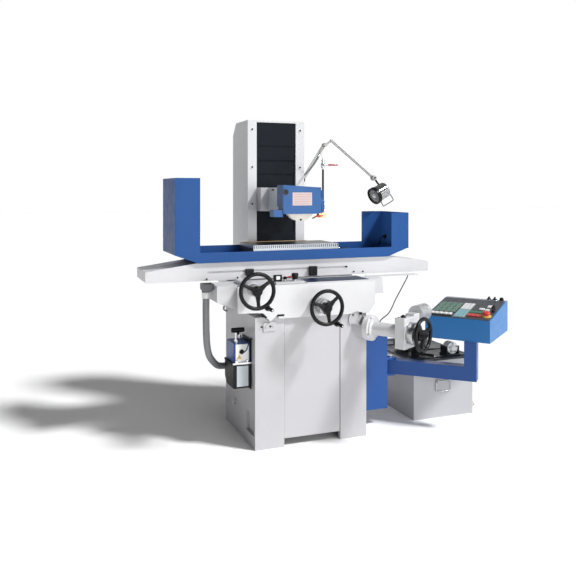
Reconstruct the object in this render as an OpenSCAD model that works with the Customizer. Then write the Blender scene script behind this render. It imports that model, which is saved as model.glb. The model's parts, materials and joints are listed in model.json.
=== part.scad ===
// Surface grinder with a cross-travelling saddle, a long-travelling table and a vertical head.
// Millimetres. +X runs right along the table, +Y to the back, +Z up.
// The origin is on the floor, under the middle of the base block.

/* [Base and column] */
// Width of the base block along X
base_w = 636; // [630:1:640]
// Depth of the base block along Y
base_d = 550; // [546:1:552]
// Height of the base block
base_h = 682; // [678:1:684]
// Wall thickness of the base casting
base_wall = 30; // [24:1:36]
// Width of the column along X
column_w = 362; // [356:1:370]
// Front face of the column
column_front = 285; // [285:1:288]
// Back face of the column
column_back = 595; // [590:1:620]
// Top of the column
column_top = 1755; // [1750:1:1780]
// Width of the slot in the column front that the head runs in
slot_w = 250; // [250:1:256]

/* [Saddle and table] */
// Front face of the saddle apron
apron_front = -293; // [-298:1:-293]
// Thickness of the apron plate
apron_t = 16; // [12:1:16]
// Top of the saddle, and of its apron
saddle_top = 846; // [844:1:850]
// Overall length of the table
table_l = 1684; // [1670:1:1700]
// Front face of the table
table_front = -57; // [-60:1:-54]
// Depth of the table along Y
table_d = 270; // [264:1:272]
// Underside of the table
table_bottom = 854; // [854:1:856]
// Working surface of the table
table_top = 950; // [948:1:952]
// Length of the magnetic chuck
chuck_l = 508; // [480:1:520]
// Depth of the magnetic chuck
chuck_d = 254; // [240:1:256]
// Height of the magnetic chuck
chuck_h = 85; // [75:1:90]

/* [Splash guard] */
// Half of the tray's length
tray_half = 690; // [680:1:696]
// Height of the tray's back wall above the table
tray_back_h = 67; // [50:1:80]
// Top of the left tower
tower_left_top = 1401; // [1350:1:1420]
// Top of the right tower
tower_right_top = 1205; // [1150:1:1210]
// Sheet thickness of the splash guard
sheet = 3; // [2:0.5:4]

/* [Head] */
// Height of the wheel spindle
spindle_z = 1256; // [1254:1:1258]
// Diameter of the grinding wheel
wheel_dia = 180; // [170:1:184]
// Thickness of the grinding wheel
wheel_t = 34; // [20:1:38]
// Outer width of the wheel guard
guard_w = 224; // [220:1:230]
// Front face of the wheel guard
guard_front = -130; // [-132:1:-128]
// Back face of the wheel guard
guard_back = -35; // [-36:1:-30]
// Wall thickness of the wheel guard
guard_wall = 6; // [4:1:7]

/* [Handwheels] */
// Outer diameter of the two front handwheels
wheel_od = 190; // [180:1:196]
// Outer diameter of the down-feed handwheel
feed_wheel_od = 183; // [176:1:188]
// Thickness of a handwheel's rim
rim_d = 20; // [16:1:22]
// Diameter of a revolving handle
handle_d = 20; // [16:1:22]

/* [Pendant] */
// Width of the control console
console_w = 366; // [360:1:370]
// Depth of the control console
console_d = 425; // [415:1:430]
// Underside of the console
console_z = 500; // [498:1:504]
// Height of the console's front face
console_front_h = 122; // [115:1:125]
// Height of the console's back
console_back_h = 177; // [172:1:182]

/* [Coolant tank] */
// Width of the coolant tank
tank_w = 405; // [395:1:410]
// Depth of the coolant tank
tank_d = 600; // [560:1:620]
// Height of the coolant tank's rim
tank_h = 346; // [340:1:350]

/* [Hidden] */
$fn = 48;

// clearances
running = 0.05; // radial, shaft in its bearing
gap = 0.5;      // between faces of bodies that pass each other

// base
base_x = base_w / 2;
base_front = -base_d / 2;
recess_left = -158;
recess_right = 163;
recess_deep = 15;
panel_foot = 40;
v_way_x = -241;
flat_way_x = 250;
dome_r = 41;
dome_z = 640;
foot_size = 60;
foot_t = 30;
anchor_x = 540;
anchor_y = 440;
anchor_r = 9;

// column and way covers
column_x = column_w / 2;
column_wall = 16;
slot_x = slot_w / 2;
cover_t = 3;
cover_h = 138;
head_low = 1213;
head_high = 1352;
upper_fixed_low = 1603;
cover_high_low = 1519;
cover_low_low = 1436;
lower_fixed_top = 1080;
lower_moving_low = 830;
column_foot = 690;
screw_y = 540;
screw_r = 16;

// saddle
apron_left = -415;
apron_right = 362;
side_box_left = -506;
side_box_front = -226;
side_box_low = 762;
bracket_right = 466;
bracket_low = 759;
rail_right = 730;
speed_place = [-84, -236];
reverse_place = [-140, -236];

// table
table_x = table_l / 2;
wing_x = 570;
wing_drop = 38;
table_back = table_front + table_d;
groove_z = 899;
rod_y_mid = 75;
rod_high = 880;
rod_r = 9;
cylinder_half = 330;
channel_front = 10;
channel_back = 140;

// splash guard
tray_front = -73;
tray_back = 262;
tray_flat_half = 565;
tray_corner_z = 995;
tower_left_in = -556;
tower_right_in = 587;
tower_right_out = 701;

// spindle line
wheel_y = -91;
motor_r = 75;
bearing_r = 30;
shaft_r = 20;

// handwheels
table_wheel = [-356, -426, 840];
cross_wheel = [18, -426, 738];
hub_r = 26;
shaft_d = 19.9;
table_shaft_r = 8;
handle_l = 62;
handle_out = 5.5;
feed_phase = 20;
feed_lug = 260;
table_phase = 35;
cross_phase = 40;
front_lug = -58;

// down-feed unit: its axis leaves the base's right front corner
feed_origin = [300, -275, 595];
feed_turn = 31;
feed_flange_t0 = 29;
feed_flange_t1 = 63;
feed_step_t1 = 72;
feed_box_t0 = 224;
feed_box_t1 = 283;
feed_wheel_t = 360;
feed_shaft_in = 200; // the wheel's shaft ends this far along the axis
feed_motor_x = 118;
feed_motor_y = 80;

// pendant
elbow = [564, -94];
post = [907, -418];
beam_low = 281;
beam_high = 360;
beam_d = 72;
post_l = 68;
post_out = 24;
pendant_wall = 5;
console_corner = [713, -235];
console_turn = -50.6;
ledge_d = 46;
stop_place = [330, 68];
stop_r = 8;

// coolant tank
tank_corner = [690, -150];
pump_places = [[120, 150], [120, 330]];
bail_left = 147;
bail_right = 247;
bail_y = -7;
bail_pivot_z = 215;
bail_low_z = 153;
bail_r = 3;

// lamp
lamp_base = [205, 370, 1400];
lamp_elbow = [342, 350, 1621];
lamp_bend = [383, 346, 1647];
lamp_joint = [642, 250, 1414];
lamp_centre = [690, 250, 1325];
lamp_dir = [-0.881, -0.2, -0.43];

// coolant line on the head
valve = [155, -60, 1479];
nozzle_pin_x = 135;
nozzle_z = 1195;
lever_r = 4;

// routes of the free cords
hose_r = 18;
hose_route = [[-540, -132, 806], [-540, -132, 760], [-540, -132, 690], [-538, -128, 610],
  [-530, -112, 530], [-508, -72, 462], [-472, -16, 414], [-432, 48, 376], [-392, 99, 356],
  [-353, 100, 356]];
lead_r = 3;
chuck_lead_route = [[262, -30, 1004], [282, -31, 1004], [320, -30, 1000], [380, -10, 986],
  [450, 24, 974], [520, 66, 974], [580, 112, 990], [626, 152, 1010], [652, 184, 1034],
  [670, 198, 1046], [687.5, 200, 1048]];
feed_lead_route = [[678, -100, 840.5], [678, -100, 832], [663, -112, 818], [635, -130, 793],
  [600, -155, 763], [568, -180, 739], [530, -212, 712], [492, -248, 684], [444, -292, 659],
  [384, -333, 642], [358, -358, 634]];
lubricator_lead_route = [[-372, -222, 500], [-372, -232, 500], [-366, -242, 504],
  [-354, -246, 518], [-344, -241, 542], [-336, -233, 560], [-328, -230, 566], [-318, -230, 566]];

// ---------- shared shapes ----------

module block(x0, x1, y0, y1, z0, z1) {
  translate([x0, y0, z0])
    cube([x1 - x0, y1 - y0, z1 - z0]);
}

// Block with rounded upright edges
module round_block(x0, x1, y0, y1, z0, z1, r) {
  translate([x0, y0, z0])
    linear_extrude(z1 - z0)
      round_rect(x1 - x0, y1 - y0, r);
}

module round_rect(w, d, r) {
  translate([r, 0])
    square([w - 2 * r, d]);
  translate([0, r])
    square([w, d - 2 * r]);
  for (x = [r, w - r], y = [r, d - r])
    translate([x, y])
      circle(r);
}

// Flat shape drawn in X and Z, running from y0 to y1
module along_y(y0, y1) {
  translate([0, y1, 0])
    rotate([90, 0, 0])
      linear_extrude(y1 - y0)
        children();
}

// Flat shape drawn in Y and Z, running from x0 to x1
module along_x(x0, x1) {
  translate([x0, 0, 0])
    rotate([90, 0, 90])
      linear_extrude(x1 - x0)
        children();
}

module rod_x(x0, x1, y, z, r) {
  translate([x0, y, z])
    rotate([0, 90, 0])
      cylinder(r = r, h = x1 - x0);
}

module rod_y(x, y0, y1, z, r) {
  translate([x, y1, z])
    rotate([90, 0, 0])
      cylinder(r = r, h = y1 - y0);
}

module rod_z(x, y, z0, z1, r) {
  translate([x, y, z0])
    cylinder(r = r, h = z1 - z0);
}

// Children drawn along +Z are turned to run from p towards q
module aim(p, q) {
  d = q - p;
  translate(p)
    rotate([0, acos(d.z / norm(d)), atan2(d.y, d.x)])
      children();
}

module bar(p, q, r) {
  aim(p, q)
    cylinder(r = r, h = norm(q - p));
}

// Row of screw heads on faces that look along -Y
module screws_front(places, y, r, t) {
  for (p = places)
    rod_y(p.x, y - t, y, p.y, r);
}

// ---------- cords ----------

function unit(v) = v / norm(v);
function tangent(path, i) =
  unit(path[min(i + 1, len(path) - 1)] - path[max(i - 1, 0)]);
// Sideways vector of ring i, never along the path
function side_of(t) = unit(cross(t, abs(t.y) > 0.9 ? [1, 0, 0] : [0, 1, 0]));
function ring(path, i, r, n) =
  let (t = tangent(path, i), a = side_of(t), b = cross(t, a))
    [for (k = [0:n - 1]) path[i] + r * (cos(360 * k / n) * a + sin(360 * k / n) * b)];

module cord(path, r, n = 8) {
  rings = len(path);
  points = [for (i = [0:rings - 1]) each ring(path, i, r, n)];
  sides = [for (i = [0:rings - 2], k = [0:n - 1])
    [i * n + k, i * n + (k + 1) % n, (i + 1) * n + (k + 1) % n, (i + 1) * n + k]];
  first = [for (k = [0:n - 1]) n - 1 - k];
  last = [for (k = [0:n - 1]) (rings - 1) * n + k];
  polyhedron(points, concat([first], sides, [last]), convexity = 4);
}

// ---------- base ----------

// Groove of the base's V way; grow widens it
module v_way(grow) {
  polygon([[v_way_x - 29 - grow, base_h + 1 + grow], [v_way_x, 655 - grow],
    [v_way_x + 29 + grow, base_h + 1 + grow]]);
}

module feed_axis() {
  translate(feed_origin)
    rotate([90, 0, feed_turn])
      children();
}

// Half disc that closes the end of the flat way
module dome_face(r) {
  intersection() {
    translate([flat_way_x, dome_z])
      circle(r);
    translate([flat_way_x - r, dome_z - 24])
      square([2 * r, 100]);
  }
}

module base_casting() color("gainsboro") {
  difference() {
    union() {
      block(-base_x, base_x, base_front, -base_front, 0, base_h);
      block(-column_x, column_x, -base_front, column_back, 0, column_foot);
      // boss for the down-feed unit
      difference() {
        intersection() {
          feed_axis()
            translate([0, 0, -62])
              cylinder(r = 62, h = 62 + feed_flange_t0);
          block(170, 400, base_front - 80, base_front + base_wall + 30, 500, base_h - 12);
        }
        along_y(base_front - 90, base_front)
          dome_face(dome_r + gap);
      }
    }
    // cavity, open to the floor
    block(-base_x + base_wall, base_x - base_wall, base_front + base_wall,
      -base_front - base_wall, -1, base_h - 60);
    block(-column_x + base_wall, column_x - base_wall, -base_front + base_wall / 2,
      column_back - base_wall, -1, column_foot - 40);
    // recess behind the front panel, and the arch under it
    block(recess_left, recess_right, base_front - 1, base_front + recess_deep,
      panel_foot, base_h + 1);
    block(recess_left, recess_right, base_front - 1, base_front + base_wall + 1,
      -1, panel_foot);
    // pocket for a lifting fork on each side
    for (s = [-1, 1])
      block(s < 0 ? -base_x - 1 : base_x - 18, s < 0 ? -base_x + 18 : base_x + 1,
        -256, -118, 64, 173);
    // V way, open along the whole top
    along_y(base_front - 1, -base_front + 1)
      v_way(0);
    // bore of the elevating screw's lower bearing
    rod_z(0, screw_y, column_foot - 41, column_foot + 1, screw_r + running);
    // oil and cable passage under the saddle
    block(-90, 90, -60, 120, base_h - 61, base_h + 1);
  }
  // feet with the anchor holes, inside the four corners
  for (sx = [-1, 1], sy = [-1, 1])
    difference() {
      block(sx * anchor_x / 2 - foot_size / 2, sx * anchor_x / 2 + foot_size / 2,
        sy * anchor_y / 2 - foot_size / 2, sy * anchor_y / 2 + foot_size / 2, 0, foot_t);
      rod_z(sx * anchor_x / 2, sy * anchor_y / 2, -1, foot_t + 1, anchor_r);
    }
  // lifting eyes on the left side
  for (p = [[255, 650], [70, 160]])
    translate([-base_x - 4, p.x, p.y])
      rotate([90, 0, 0])
        difference() {
          cylinder(r = 20, h = 12, center = true);
          cylinder(r = 10, h = 14, center = true);
          translate([4, -30, -10])
            cube([40, 60, 20]);
        }
}

module base_covers() color("whitesmoke") {
  // front panel in the recess
  block(recess_left + 2, recess_right - 2, base_front + recess_deep - 11,
    base_front + recess_deep, panel_foot + 3, base_h - 4);
  // end cover of the flat way
  along_y(base_front - 9, base_front)
    dome_face(dome_r);
  // end plate under the V way
  block(v_way_x - 34, v_way_x + 34, base_front - 6, base_front, 610, 654);
  screws_front([[v_way_x - 20, 634], [v_way_x + 20, 634]], base_front - 6, 5, 4);
}

// ---------- column ----------

module column_outline() {
  polygon([[column_front, column_foot], [column_back, column_foot],
    [column_back, column_top - 75], [column_back - 65, column_top],
    [column_front, column_top]]);
}

module column_casting() color("gainsboro") {
  difference() {
    along_x(-column_x, column_x)
      column_outline();
    block(-column_x + column_wall, column_x - column_wall, column_front + 24,
      column_back - 12, column_foot + 12, column_top - 90);
    block(-column_x + column_wall, column_x - column_wall, column_front + 24,
      column_back - 80, column_foot + 12, column_top - 12);
    // slot for the head
    block(-slot_x, slot_x, column_front - 1, column_front + 25,
      column_foot + 12, column_top - 12);
    // bore of the elevating screw's lower bearing
    rod_z(0, screw_y, column_foot - 1, column_foot + 13, screw_r + running);
  }
  // vertical ways along both inner walls
  for (s = [-1, 1])
    block(s < 0 ? -column_x + column_wall : 141, s < 0 ? -141 : column_x - column_wall,
      336, 372, column_foot + 12, column_top - 12);
  // screws on the front strips
  screws_front([for (s = [-1, 1], z = [1255, 1475, 1700]) [s * (column_x - 28), z]],
    column_front, 6, 3);
}

module cover_section(y, z0, z1) {
  block(-slot_x + 1, slot_x - 1, y, y + cover_t, z0, z1);
}

module fixed_way_covers() color("#20242a") {
  cover_section(column_front + 2, upper_fixed_low, column_top - 13);
  cover_section(column_front + 2, column_foot + 13, lower_fixed_top);
}

module upper_cover_high() color("#20242a")
  cover_section(column_front + 6, cover_high_low, cover_high_low + cover_h);

module upper_cover_low() color("#20242a")
  cover_section(column_front + 10, cover_low_low, cover_low_low + cover_h);

module elevating_screw() color("silver") {
  rod_z(0, screw_y, column_foot - 50, column_top - 100, screw_r);
  // bevel gear below the column foot
  rod_z(0, screw_y, column_foot - 64, column_foot - 41, 23);
}

// ---------- inside the base ----------

module hydraulic_unit() color("slategray") {
  difference() {
    round_block(-150, 150, -190, 60, 34, 290, 12);
    block(-146, 146, -186, 56, 38, 286);
  }
  rod_z(-60, -65, 290, 310, 74);
  rod_z(-60, -65, 310, 500, 62);
  rod_z(70, -65, 290, 380, 34);
}

// ---------- lubricator ----------

module lubricator() color("#2b2d31") {
  // mounting plate and reservoir with a bevelled lower back edge
  block(-base_x - 5, -base_x, -215, -62, 300, 560);
  along_x(-418, -base_x - 5)
    polygon([[-222, 312], [-95, 312], [-55, 345], [-55, 440], [-222, 440]]);
  // pump body, with its plug on the front
  block(-412, -base_x - 5, -208, -66, 440, 542);
  rod_y(-372, -222, -208, 500, 12);
  // two outlet tubes up to a cross bar
  rod_z(-386, -160, 542, 588, 6);
  rod_z(-350, -110, 542, 588, 6);
  round_block(-402, -336, -186, -84, 588, 614, 12);
}

// ---------- down-feed unit ----------

module feed_housing() color("whitesmoke") {
  feed_axis() {
    difference() {
      union() {
        translate([0, 0, feed_flange_t0])
          cylinder(r = 69, h = feed_flange_t1 - feed_flange_t0);
        translate([0, 0, feed_flange_t1])
          cylinder(r = 56, h = feed_step_t1 - feed_flange_t1);
        translate([0, 0, feed_step_t1])
          cylinder(r1 = 37, r2 = 34, h = feed_box_t0 - feed_step_t1);
        translate([-55, -80, feed_box_t0])
          cube([110, 161, feed_box_t1 - feed_box_t0]);
        translate([0, 0, feed_box_t1])
          cylinder(r = 64, h = 5);
      }
      translate([0, 0, 180])
        cylinder(r = 10 + running, h = 200);
    }
  }
}

module feed_motor() color("darkgray") {
  motor_z = (feed_box_t0 + feed_box_t1) / 2;
  feed_axis() {
    // adapter between the box and the motor
    translate([55, 20, feed_box_t0 + 4])
      cube([feed_motor_x - 55, 70, feed_box_t1 - feed_box_t0 - 8]);
    translate([feed_motor_x, feed_motor_y, motor_z])
      rotate([0, 90, 0]) {
        cylinder(r = 44, h = 104);
        translate([0, 0, 104])
          cylinder(r1 = 44, r2 = 34, h = 14);
      }
  }
}

// Three-spoked handwheel drawn around +Z, with a lug for the revolving handle
module wheel_body(od, phase, lug) {
  rim_r = (od - rim_d) / 2;
  rotate_extrude()
    translate([rim_r, 0])
      circle(d = rim_d);
  for (k = [0:2])
    rotate([0, 0, phase + 120 * k])
      translate([hub_r - 6, -8, -8])
        cube([rim_r - hub_r - 2, 16, 14]);
  difference() {
    rotate([0, 0, lug])
      translate([rim_r + 2, 0, -rim_d / 2])
        cylinder(r = handle_d / 2 + 4, h = rim_d);
    lug_place(od, lug)
      translate([0, 0, -rim_d])
        cylinder(r = 5 + running, h = 2 * rim_d);
  }
}

module lug_place(od, lug) {
  rotate([0, 0, lug])
    translate([od / 2 + handle_out, 0, 0])
      children();
}

module wheel_hub(back, r = shaft_d / 2) {
  translate([0, 0, -back])
    cylinder(r = r, h = back + 12);
  translate([0, 0, -16])
    cylinder(r = hub_r, h = 34);
  translate([0, 0, 18])
    cylinder(r = 16, h = 8);
}

// Handle with its pin through the lug
module wheel_handle(od, lug) {
  lug_place(od, lug) {
    translate([0, 0, -rim_d / 2 - 2])
      cylinder(r = 5, h = rim_d + 8);
    translate([0, 0, rim_d / 2 + 0.6])
      cylinder(d1 = handle_d - 4, d2 = handle_d, h = handle_l * 0.6);
    translate([0, 0, rim_d / 2 + 0.6 + handle_l * 0.6])
      cylinder(d1 = handle_d, d2 = handle_d - 6, h = handle_l * 0.4);
  }
}

module feed_place() {
  feed_axis()
    translate([0, 0, feed_wheel_t])
      children();
}

module feed_handwheel() color("#202225") {
  feed_place() {
    wheel_body(feed_wheel_od, feed_phase, feed_lug);
    wheel_hub(feed_wheel_t - feed_shaft_in);
    // graduated dial behind the wheel
    translate([0, 0, feed_box_t1 + 6 - feed_wheel_t])
      cylinder(r = 58, h = 38);
  }
}

module feed_wheel_handle() color("#202225") {
  feed_place()
    wheel_handle(feed_wheel_od, feed_lug);
}

// ---------- pendant ----------

module pendant_pillar() color("#3f66ab") {
  difference() {
    block(base_x, 518, -150, -60, 92, 548);
    block(base_x + pendant_wall, 518 - pendant_wall, -150 + pendant_wall,
      -60 - pendant_wall, 92 + pendant_wall, 548 - pendant_wall);
  }
  // fork that holds the arm's pin
  for (z = [beam_low - 13, beam_high + 1])
    difference() {
      union() {
        block(518, elbow.x, elbow.y - beam_d / 2, elbow.y + beam_d / 2, z, z + 12);
        rod_z(elbow.x, elbow.y, z, z + 12, beam_d / 2);
      }
      rod_z(elbow.x, elbow.y, z - 1, z + 13, 15);
    }
  rod_z(elbow.x, elbow.y, beam_low - 13, beam_high + 17, 15);
}

module swing_arm() color("#3f66ab") {
  reach = norm(post - elbow);
  difference() {
    translate([elbow.x, elbow.y, beam_low])
      rotate([0, 0, atan2(post.y - elbow.y, post.x - elbow.x)])
        difference() {
          linear_extrude(beam_high - beam_low) {
            circle(r = beam_d / 2 + 1.5);
            translate([0, -beam_d / 2])
              square([reach + post_out, beam_d]);
          }
          translate([60, -beam_d / 2 + pendant_wall, pendant_wall])
            cube([reach - 110, beam_d - 2 * pendant_wall,
              beam_high - beam_low - 2 * pendant_wall]);
        }
    rod_z(elbow.x, elbow.y, beam_low - 1, beam_high + 1, 15 + running);
  }
  // post, and the spigot that the console turns on
  translate([elbow.x, elbow.y, beam_high - 2])
    rotate([0, 0, atan2(post.y - elbow.y, post.x - elbow.x)])
      translate([reach + post_out - post_l, -beam_d / 2, 0])
        cube([post_l, beam_d, console_z - gap - beam_high + 2]);
  rod_z(post.x, post.y, console_z - 3, console_z + 40, 15);
}

module console_place() {
  translate([console_corner.x, console_corner.y, console_z])
    rotate([0, 0, console_turn])
      children();
}

module console_side(inset) {
  polygon([[inset, inset], [console_d - inset, inset],
    [console_d - inset, console_back_h - inset],
    [console_d - ledge_d, console_back_h - inset],
    [inset, console_front_h - inset]]);
}

module console_box() color("#4a78b8") {
  difference() {
    console_place()
      difference() {
        along_x(0, console_w)
          console_side(0);
        along_x(4, console_w - 4)
          console_side(4);
        // opening under the panel
        translate([16, 16, console_front_h - 30])
          cube([console_w - 32, console_d - ledge_d - 30, 160]);
      }
    rod_z(post.x, post.y, console_z - 1, console_z + 6, 15 + running);
  }
  // bush around the spigot
  difference() {
    rod_z(post.x, post.y, console_z + 4, console_z + 44, 26);
    rod_z(post.x, post.y, console_z + 3, console_z + 45, 15 + running);
  }
}

// Children drawn on the sloped panel: x across, y up the slope, z out of it
module panel_place() {
  console_place()
    translate([0, 0, console_front_h])
      rotate([atan2(console_back_h - console_front_h, console_d - ledge_d), 0, 0])
        children();
}

module console_panel() color("#3c4148") {
  slope_l = norm([console_back_h - console_front_h, console_d - ledge_d]);
  panel_place()
    difference() {
      union() {
        translate([6, 6, 0])
          cube([console_w - 12, slope_l - 14, 3]);
        // two key blocks and a display frame stand proud
        translate([14, 26, 3])
          cube([130, slope_l - 60, 3]);
        for (k = [0:4])
          translate([16 + 25 * k, 9, 3])
            cube([21, 14, 7]);
        translate([160, 14, 3])
          cube([60, slope_l - 60, 3]);
        for (k = [0, 1])
          translate([232, 18 + 40 * k, 3])
            cube([76, 24, 5]);
      }
      translate([stop_place.x, stop_place.y, -1])
        cylinder(r = stop_r + running, h = 5);
    }
  // yellow plate and collar of the stop button
  panel_place()
    difference() {
      translate([stop_place.x, stop_place.y, 3])
        cylinder(r = 27, h = 4);
      translate([stop_place.x, stop_place.y, 2])
        cylinder(r = stop_r + running, h = 6);
    }
}

module estop_button() color("#d23b38") {
  panel_place()
    translate([stop_place.x, stop_place.y, 0]) {
      translate([0, 0, -14])
        cylinder(r = stop_r, h = 32);
      translate([0, 0, 17])
        cylinder(r1 = 16, r2 = 20, h = 8);
      translate([0, 0, 25])
        cylinder(r1 = 20, r2 = 14, h = 7);
    }
}

// Selector knob on the ledge behind the panel
module selector(x) {
  console_place()
    translate([x, console_d - ledge_d / 2, console_back_h]) {
      translate([0, 0, 0.5])
        cylinder(r = 13, h = 8);
      translate([-3.5, -13, 8.5])
        cube([7, 26, 12]);
    }
}

module selector_left() color("#17181a")
  selector(262);

module selector_middle() color("#17181a")
  selector(296);

// ---------- coolant tank ----------

module tank_place() {
  translate([tank_corner.x, tank_corner.y, 0])
    children();
}

module coolant_tank() color("#b5b6bb") {
  tank_place() {
    difference() {
      cube([tank_w, tank_d, tank_h]);
      translate([4, 4, 20])
        cube([tank_w - 8, tank_d - 8, tank_h]);
    }
    // ears of the bail handle
    for (x = [bail_left + 12, bail_right - 12])
      difference() {
        block(x - 6, x + 6, -12, 0, bail_pivot_z - 10, bail_pivot_z + 10);
        rod_x(x - 7, x + 7, bail_y, bail_pivot_z, bail_r + running);
      }
    // drain tap low on the right side
    rod_x(tank_w, tank_w + 24, 22, 45, 9);
  }
}

module tank_handle() color("#8f9196") {
  tank_place() {
    for (z = [bail_pivot_z, bail_low_z])
      rod_x(bail_left, bail_right, bail_y, z, bail_r);
    for (x = [bail_left, bail_right])
      rod_z(x, bail_y, bail_low_z, bail_pivot_z, bail_r);
  }
}

module coolant_pumps() color("#3a3f45") {
  // lid, resting in the tank's rim
  tank_place()
    difference() {
      translate([4, 4, tank_h - 14])
        cube([tank_w - 8, tank_d - 8, 12]);
      for (p = pump_places)
        translate([p.x, p.y, tank_h - 20])
          cylinder(r = 30, h = 30);
    }
  // two immersion pumps
  tank_place()
    for (p = pump_places)
      translate([p.x, p.y, 0]) {
        translate([0, 0, 120])
          cylinder(r = 30, h = tank_h - 122);
        translate([0, 0, tank_h - 2])
          cylinder(r = 44, h = 92);
      }
  // magnetic drum of the separator
  tank_place()
    translate([250, 30, tank_h - 2]) {
      cube([90, 90, 8]);
      translate([45, 70, 42])
        rotate([90, 0, 0])
          cylinder(r = 36, h = 56);
    }
}

// ---------- lamp ----------

module lamp_bracket() color("darkgray") {
  block(column_x, column_x + 6, lamp_base.y - 35, lamp_base.y + 35, 1360, 1400);
  block(column_x, lamp_base.x + 18, lamp_base.y - 18, lamp_base.y + 18, 1370, 1390);
}

module lamp_lower_arm() color("lightgray") {
  rod_z(lamp_base.x, lamp_base.y, 1390.5, 1412, 16);
  bar(lamp_base + [0, 0, 6], lamp_elbow, 11);
  rod_y(lamp_elbow.x, 336, 364, lamp_elbow.z, 13);
}

module lamp_upper_arm() color("lightgray") {
  difference() {
    union() {
      rod_y(lamp_elbow.x, 322, 335.5, lamp_elbow.z, 13);
      bar([lamp_elbow.x, 329, lamp_elbow.z], [lamp_bend.x, 329, lamp_bend.z], 6);
      rod_y(lamp_bend.x, 319, 339, lamp_bend.z, 9);
      bar([lamp_bend.x, 329, lamp_bend.z], lamp_joint + [-12, 13, 10], 5);
      rod_y(lamp_joint.x, 255, 271, lamp_joint.z, 17);
    }
    rod_y(lamp_joint.x, 250, 280, lamp_joint.z, 5 + running);
  }
}

module lamp_head() color("silver") {
  // pivot pin and stem
  rod_y(lamp_joint.x, 230, 274, lamp_joint.z, 5);
  rod_y(lamp_joint.x, 238, 254.5, lamp_joint.z, 15);
  bar([lamp_joint.x, 246, lamp_joint.z], lamp_centre + [-10, -2, 20], 7);
  // shade: open at the lens end
  aim(lamp_centre - 50 * lamp_dir, lamp_centre)
    rotate_extrude()
      polygon([[0, 0], [38, 0], [50, 14], [50, 92], [55, 94], [55, 116], [50, 116],
        [46, 92], [46, 20], [0, 16]]);
  aim(lamp_centre - 50 * lamp_dir, lamp_centre)
    translate([0, 0, 110])
      cylinder(r = 50, h = 4);
}

// ---------- hose and leads of the base ----------

module hose_elbow() color("dimgray") {
  rod_x(-351, -base_x, 100, 356, 21);
  rod_x(-326, -base_x, 100, 356, 30);
}

module drain_hose() color("gray")
  cord(hose_route, hose_r, 10);

module side_leads() color("#151515") {
  cord(feed_lead_route, lead_r);
  cord(lubricator_lead_route, lead_r);
}

// ---------- saddle ----------

module apron_outline() {
  difference() {
    polygon([[apron_left, saddle_top], [apron_left, 712], [-287, 707], [v_way_x, 662],
      [-205, 690], [-192, 673], [325, 673], [apron_right, 722],
      [apron_right, saddle_top]]);
    translate([flat_way_x, dome_z])
      circle(dome_r + 2);
  }
}

module saddle_casting() color("whitesmoke") {
  difference() {
    union() {
      along_y(apron_front + apron_t, 262)
        polygon([[apron_left + 20, saddle_top], [-290, 704], [300, 704],
          [apron_right - 12, 760], [apron_right - 12, saddle_top]]);
      // rails that run on the base's ways
      along_y(apron_front + apron_t, 250)
        v_way_rail();
      block(flat_way_x - 45, flat_way_x + 45, apron_front + apron_t, 250,
        base_h + gap, 705);
      // gearbox housing at the left end
      along_y(side_box_front, -60)
        polygon([[side_box_left, saddle_top], [side_box_left, side_box_low],
          [apron_left + 15, 718], [apron_left + 25, 730], [apron_left + 25, saddle_top]]);
      // bracket at the right end
      along_y(-196, -120)
        polygon([[apron_right - 13, bracket_low], [bracket_right, bracket_low],
          [bracket_right - 8, saddle_top], [apron_right - 13, saddle_top]]);
      // thin rail under the table, from which the feed motor's lead hangs
      block(bracket_right - 60, rail_right, -135, -80, saddle_top - 4, saddle_top);
    }
    // bearings of the two front handwheels' shafts
    rod_y(table_wheel.x, apron_front, -120, table_wheel.z, table_shaft_r + running);
    rod_y(cross_wheel.x, apron_front, 120, cross_wheel.z, 10 + running);
  }
  // bearing block of the table handwheel's shaft, beside the table
  difference() {
    block(table_wheel.x - 24, table_wheel.x + 24, apron_front + apron_t, -110,
      saddle_top - 1, saddle_top + 20);
    rod_y(table_wheel.x, apron_front, -120, table_wheel.z, table_shaft_r + running);
  }
  // table ways
  block(-400, 350, -30, 0, saddle_top - 1, table_bottom - gap);
  block(-400, 350, 150, 190, saddle_top - 1, table_bottom - gap);
}

module v_way_rail() {
  polygon([[v_way_x - 28, base_h + 22], [v_way_x - 28, base_h + 1.5],
    [v_way_x, 656.5], [v_way_x + 28, base_h + 1.5], [v_way_x + 28, base_h + 22]]);
}

module apron_panels() color("white") {
  difference() {
    along_y(apron_front, apron_front + apron_t)
      apron_outline();
    rod_y(table_wheel.x, apron_front - 1, apron_front + apron_t + 1, table_wheel.z,
      table_shaft_r + running);
    rod_y(cross_wheel.x, apron_front - 1, apron_front + apron_t + 1, cross_wheel.z,
      10 + running);
  }
  // oil pan beside the valve plate
  difference() {
    block(-30, apron_right - 10, apron_front + apron_t + 2, -80, saddle_top,
      saddle_top + 4);
    block(-24, apron_right - 16, apron_front + apron_t + 8, -86, saddle_top + 1,
      saddle_top + 5);
  }
}

module drain_funnel() color("#55585e") {
  difference() {
    union() {
      along_y(-172, -92)
        polygon([[-562, 850], [-562, 822], [-556, 812], [-524, 812], [side_box_left, 826],
          [side_box_left, 850]]);
      rod_z(-540, -132, 807, 813, 22);
    }
    along_y(-169, -95)
      polygon([[-558, 851], [-558, 826], [-552, 816], [-528, 816], [side_box_left - 2, 828],
        [side_box_left - 2, 851]]);
    rod_z(-540, -132, 806, 817, 14);
  }
}

module valve_block() color("#8f9aa3") {
  block(-205, -40, apron_front + apron_t, -200, saddle_top, saddle_top + 12);
  block(-203, -158, -244, -226, saddle_top + 12, saddle_top + 46);
  rod_z(speed_place.x, speed_place.y, saddle_top + 12, saddle_top + 20, 16);
  rod_z(reverse_place.x, reverse_place.y, saddle_top + 12, saddle_top + 22, 10);
}

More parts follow.
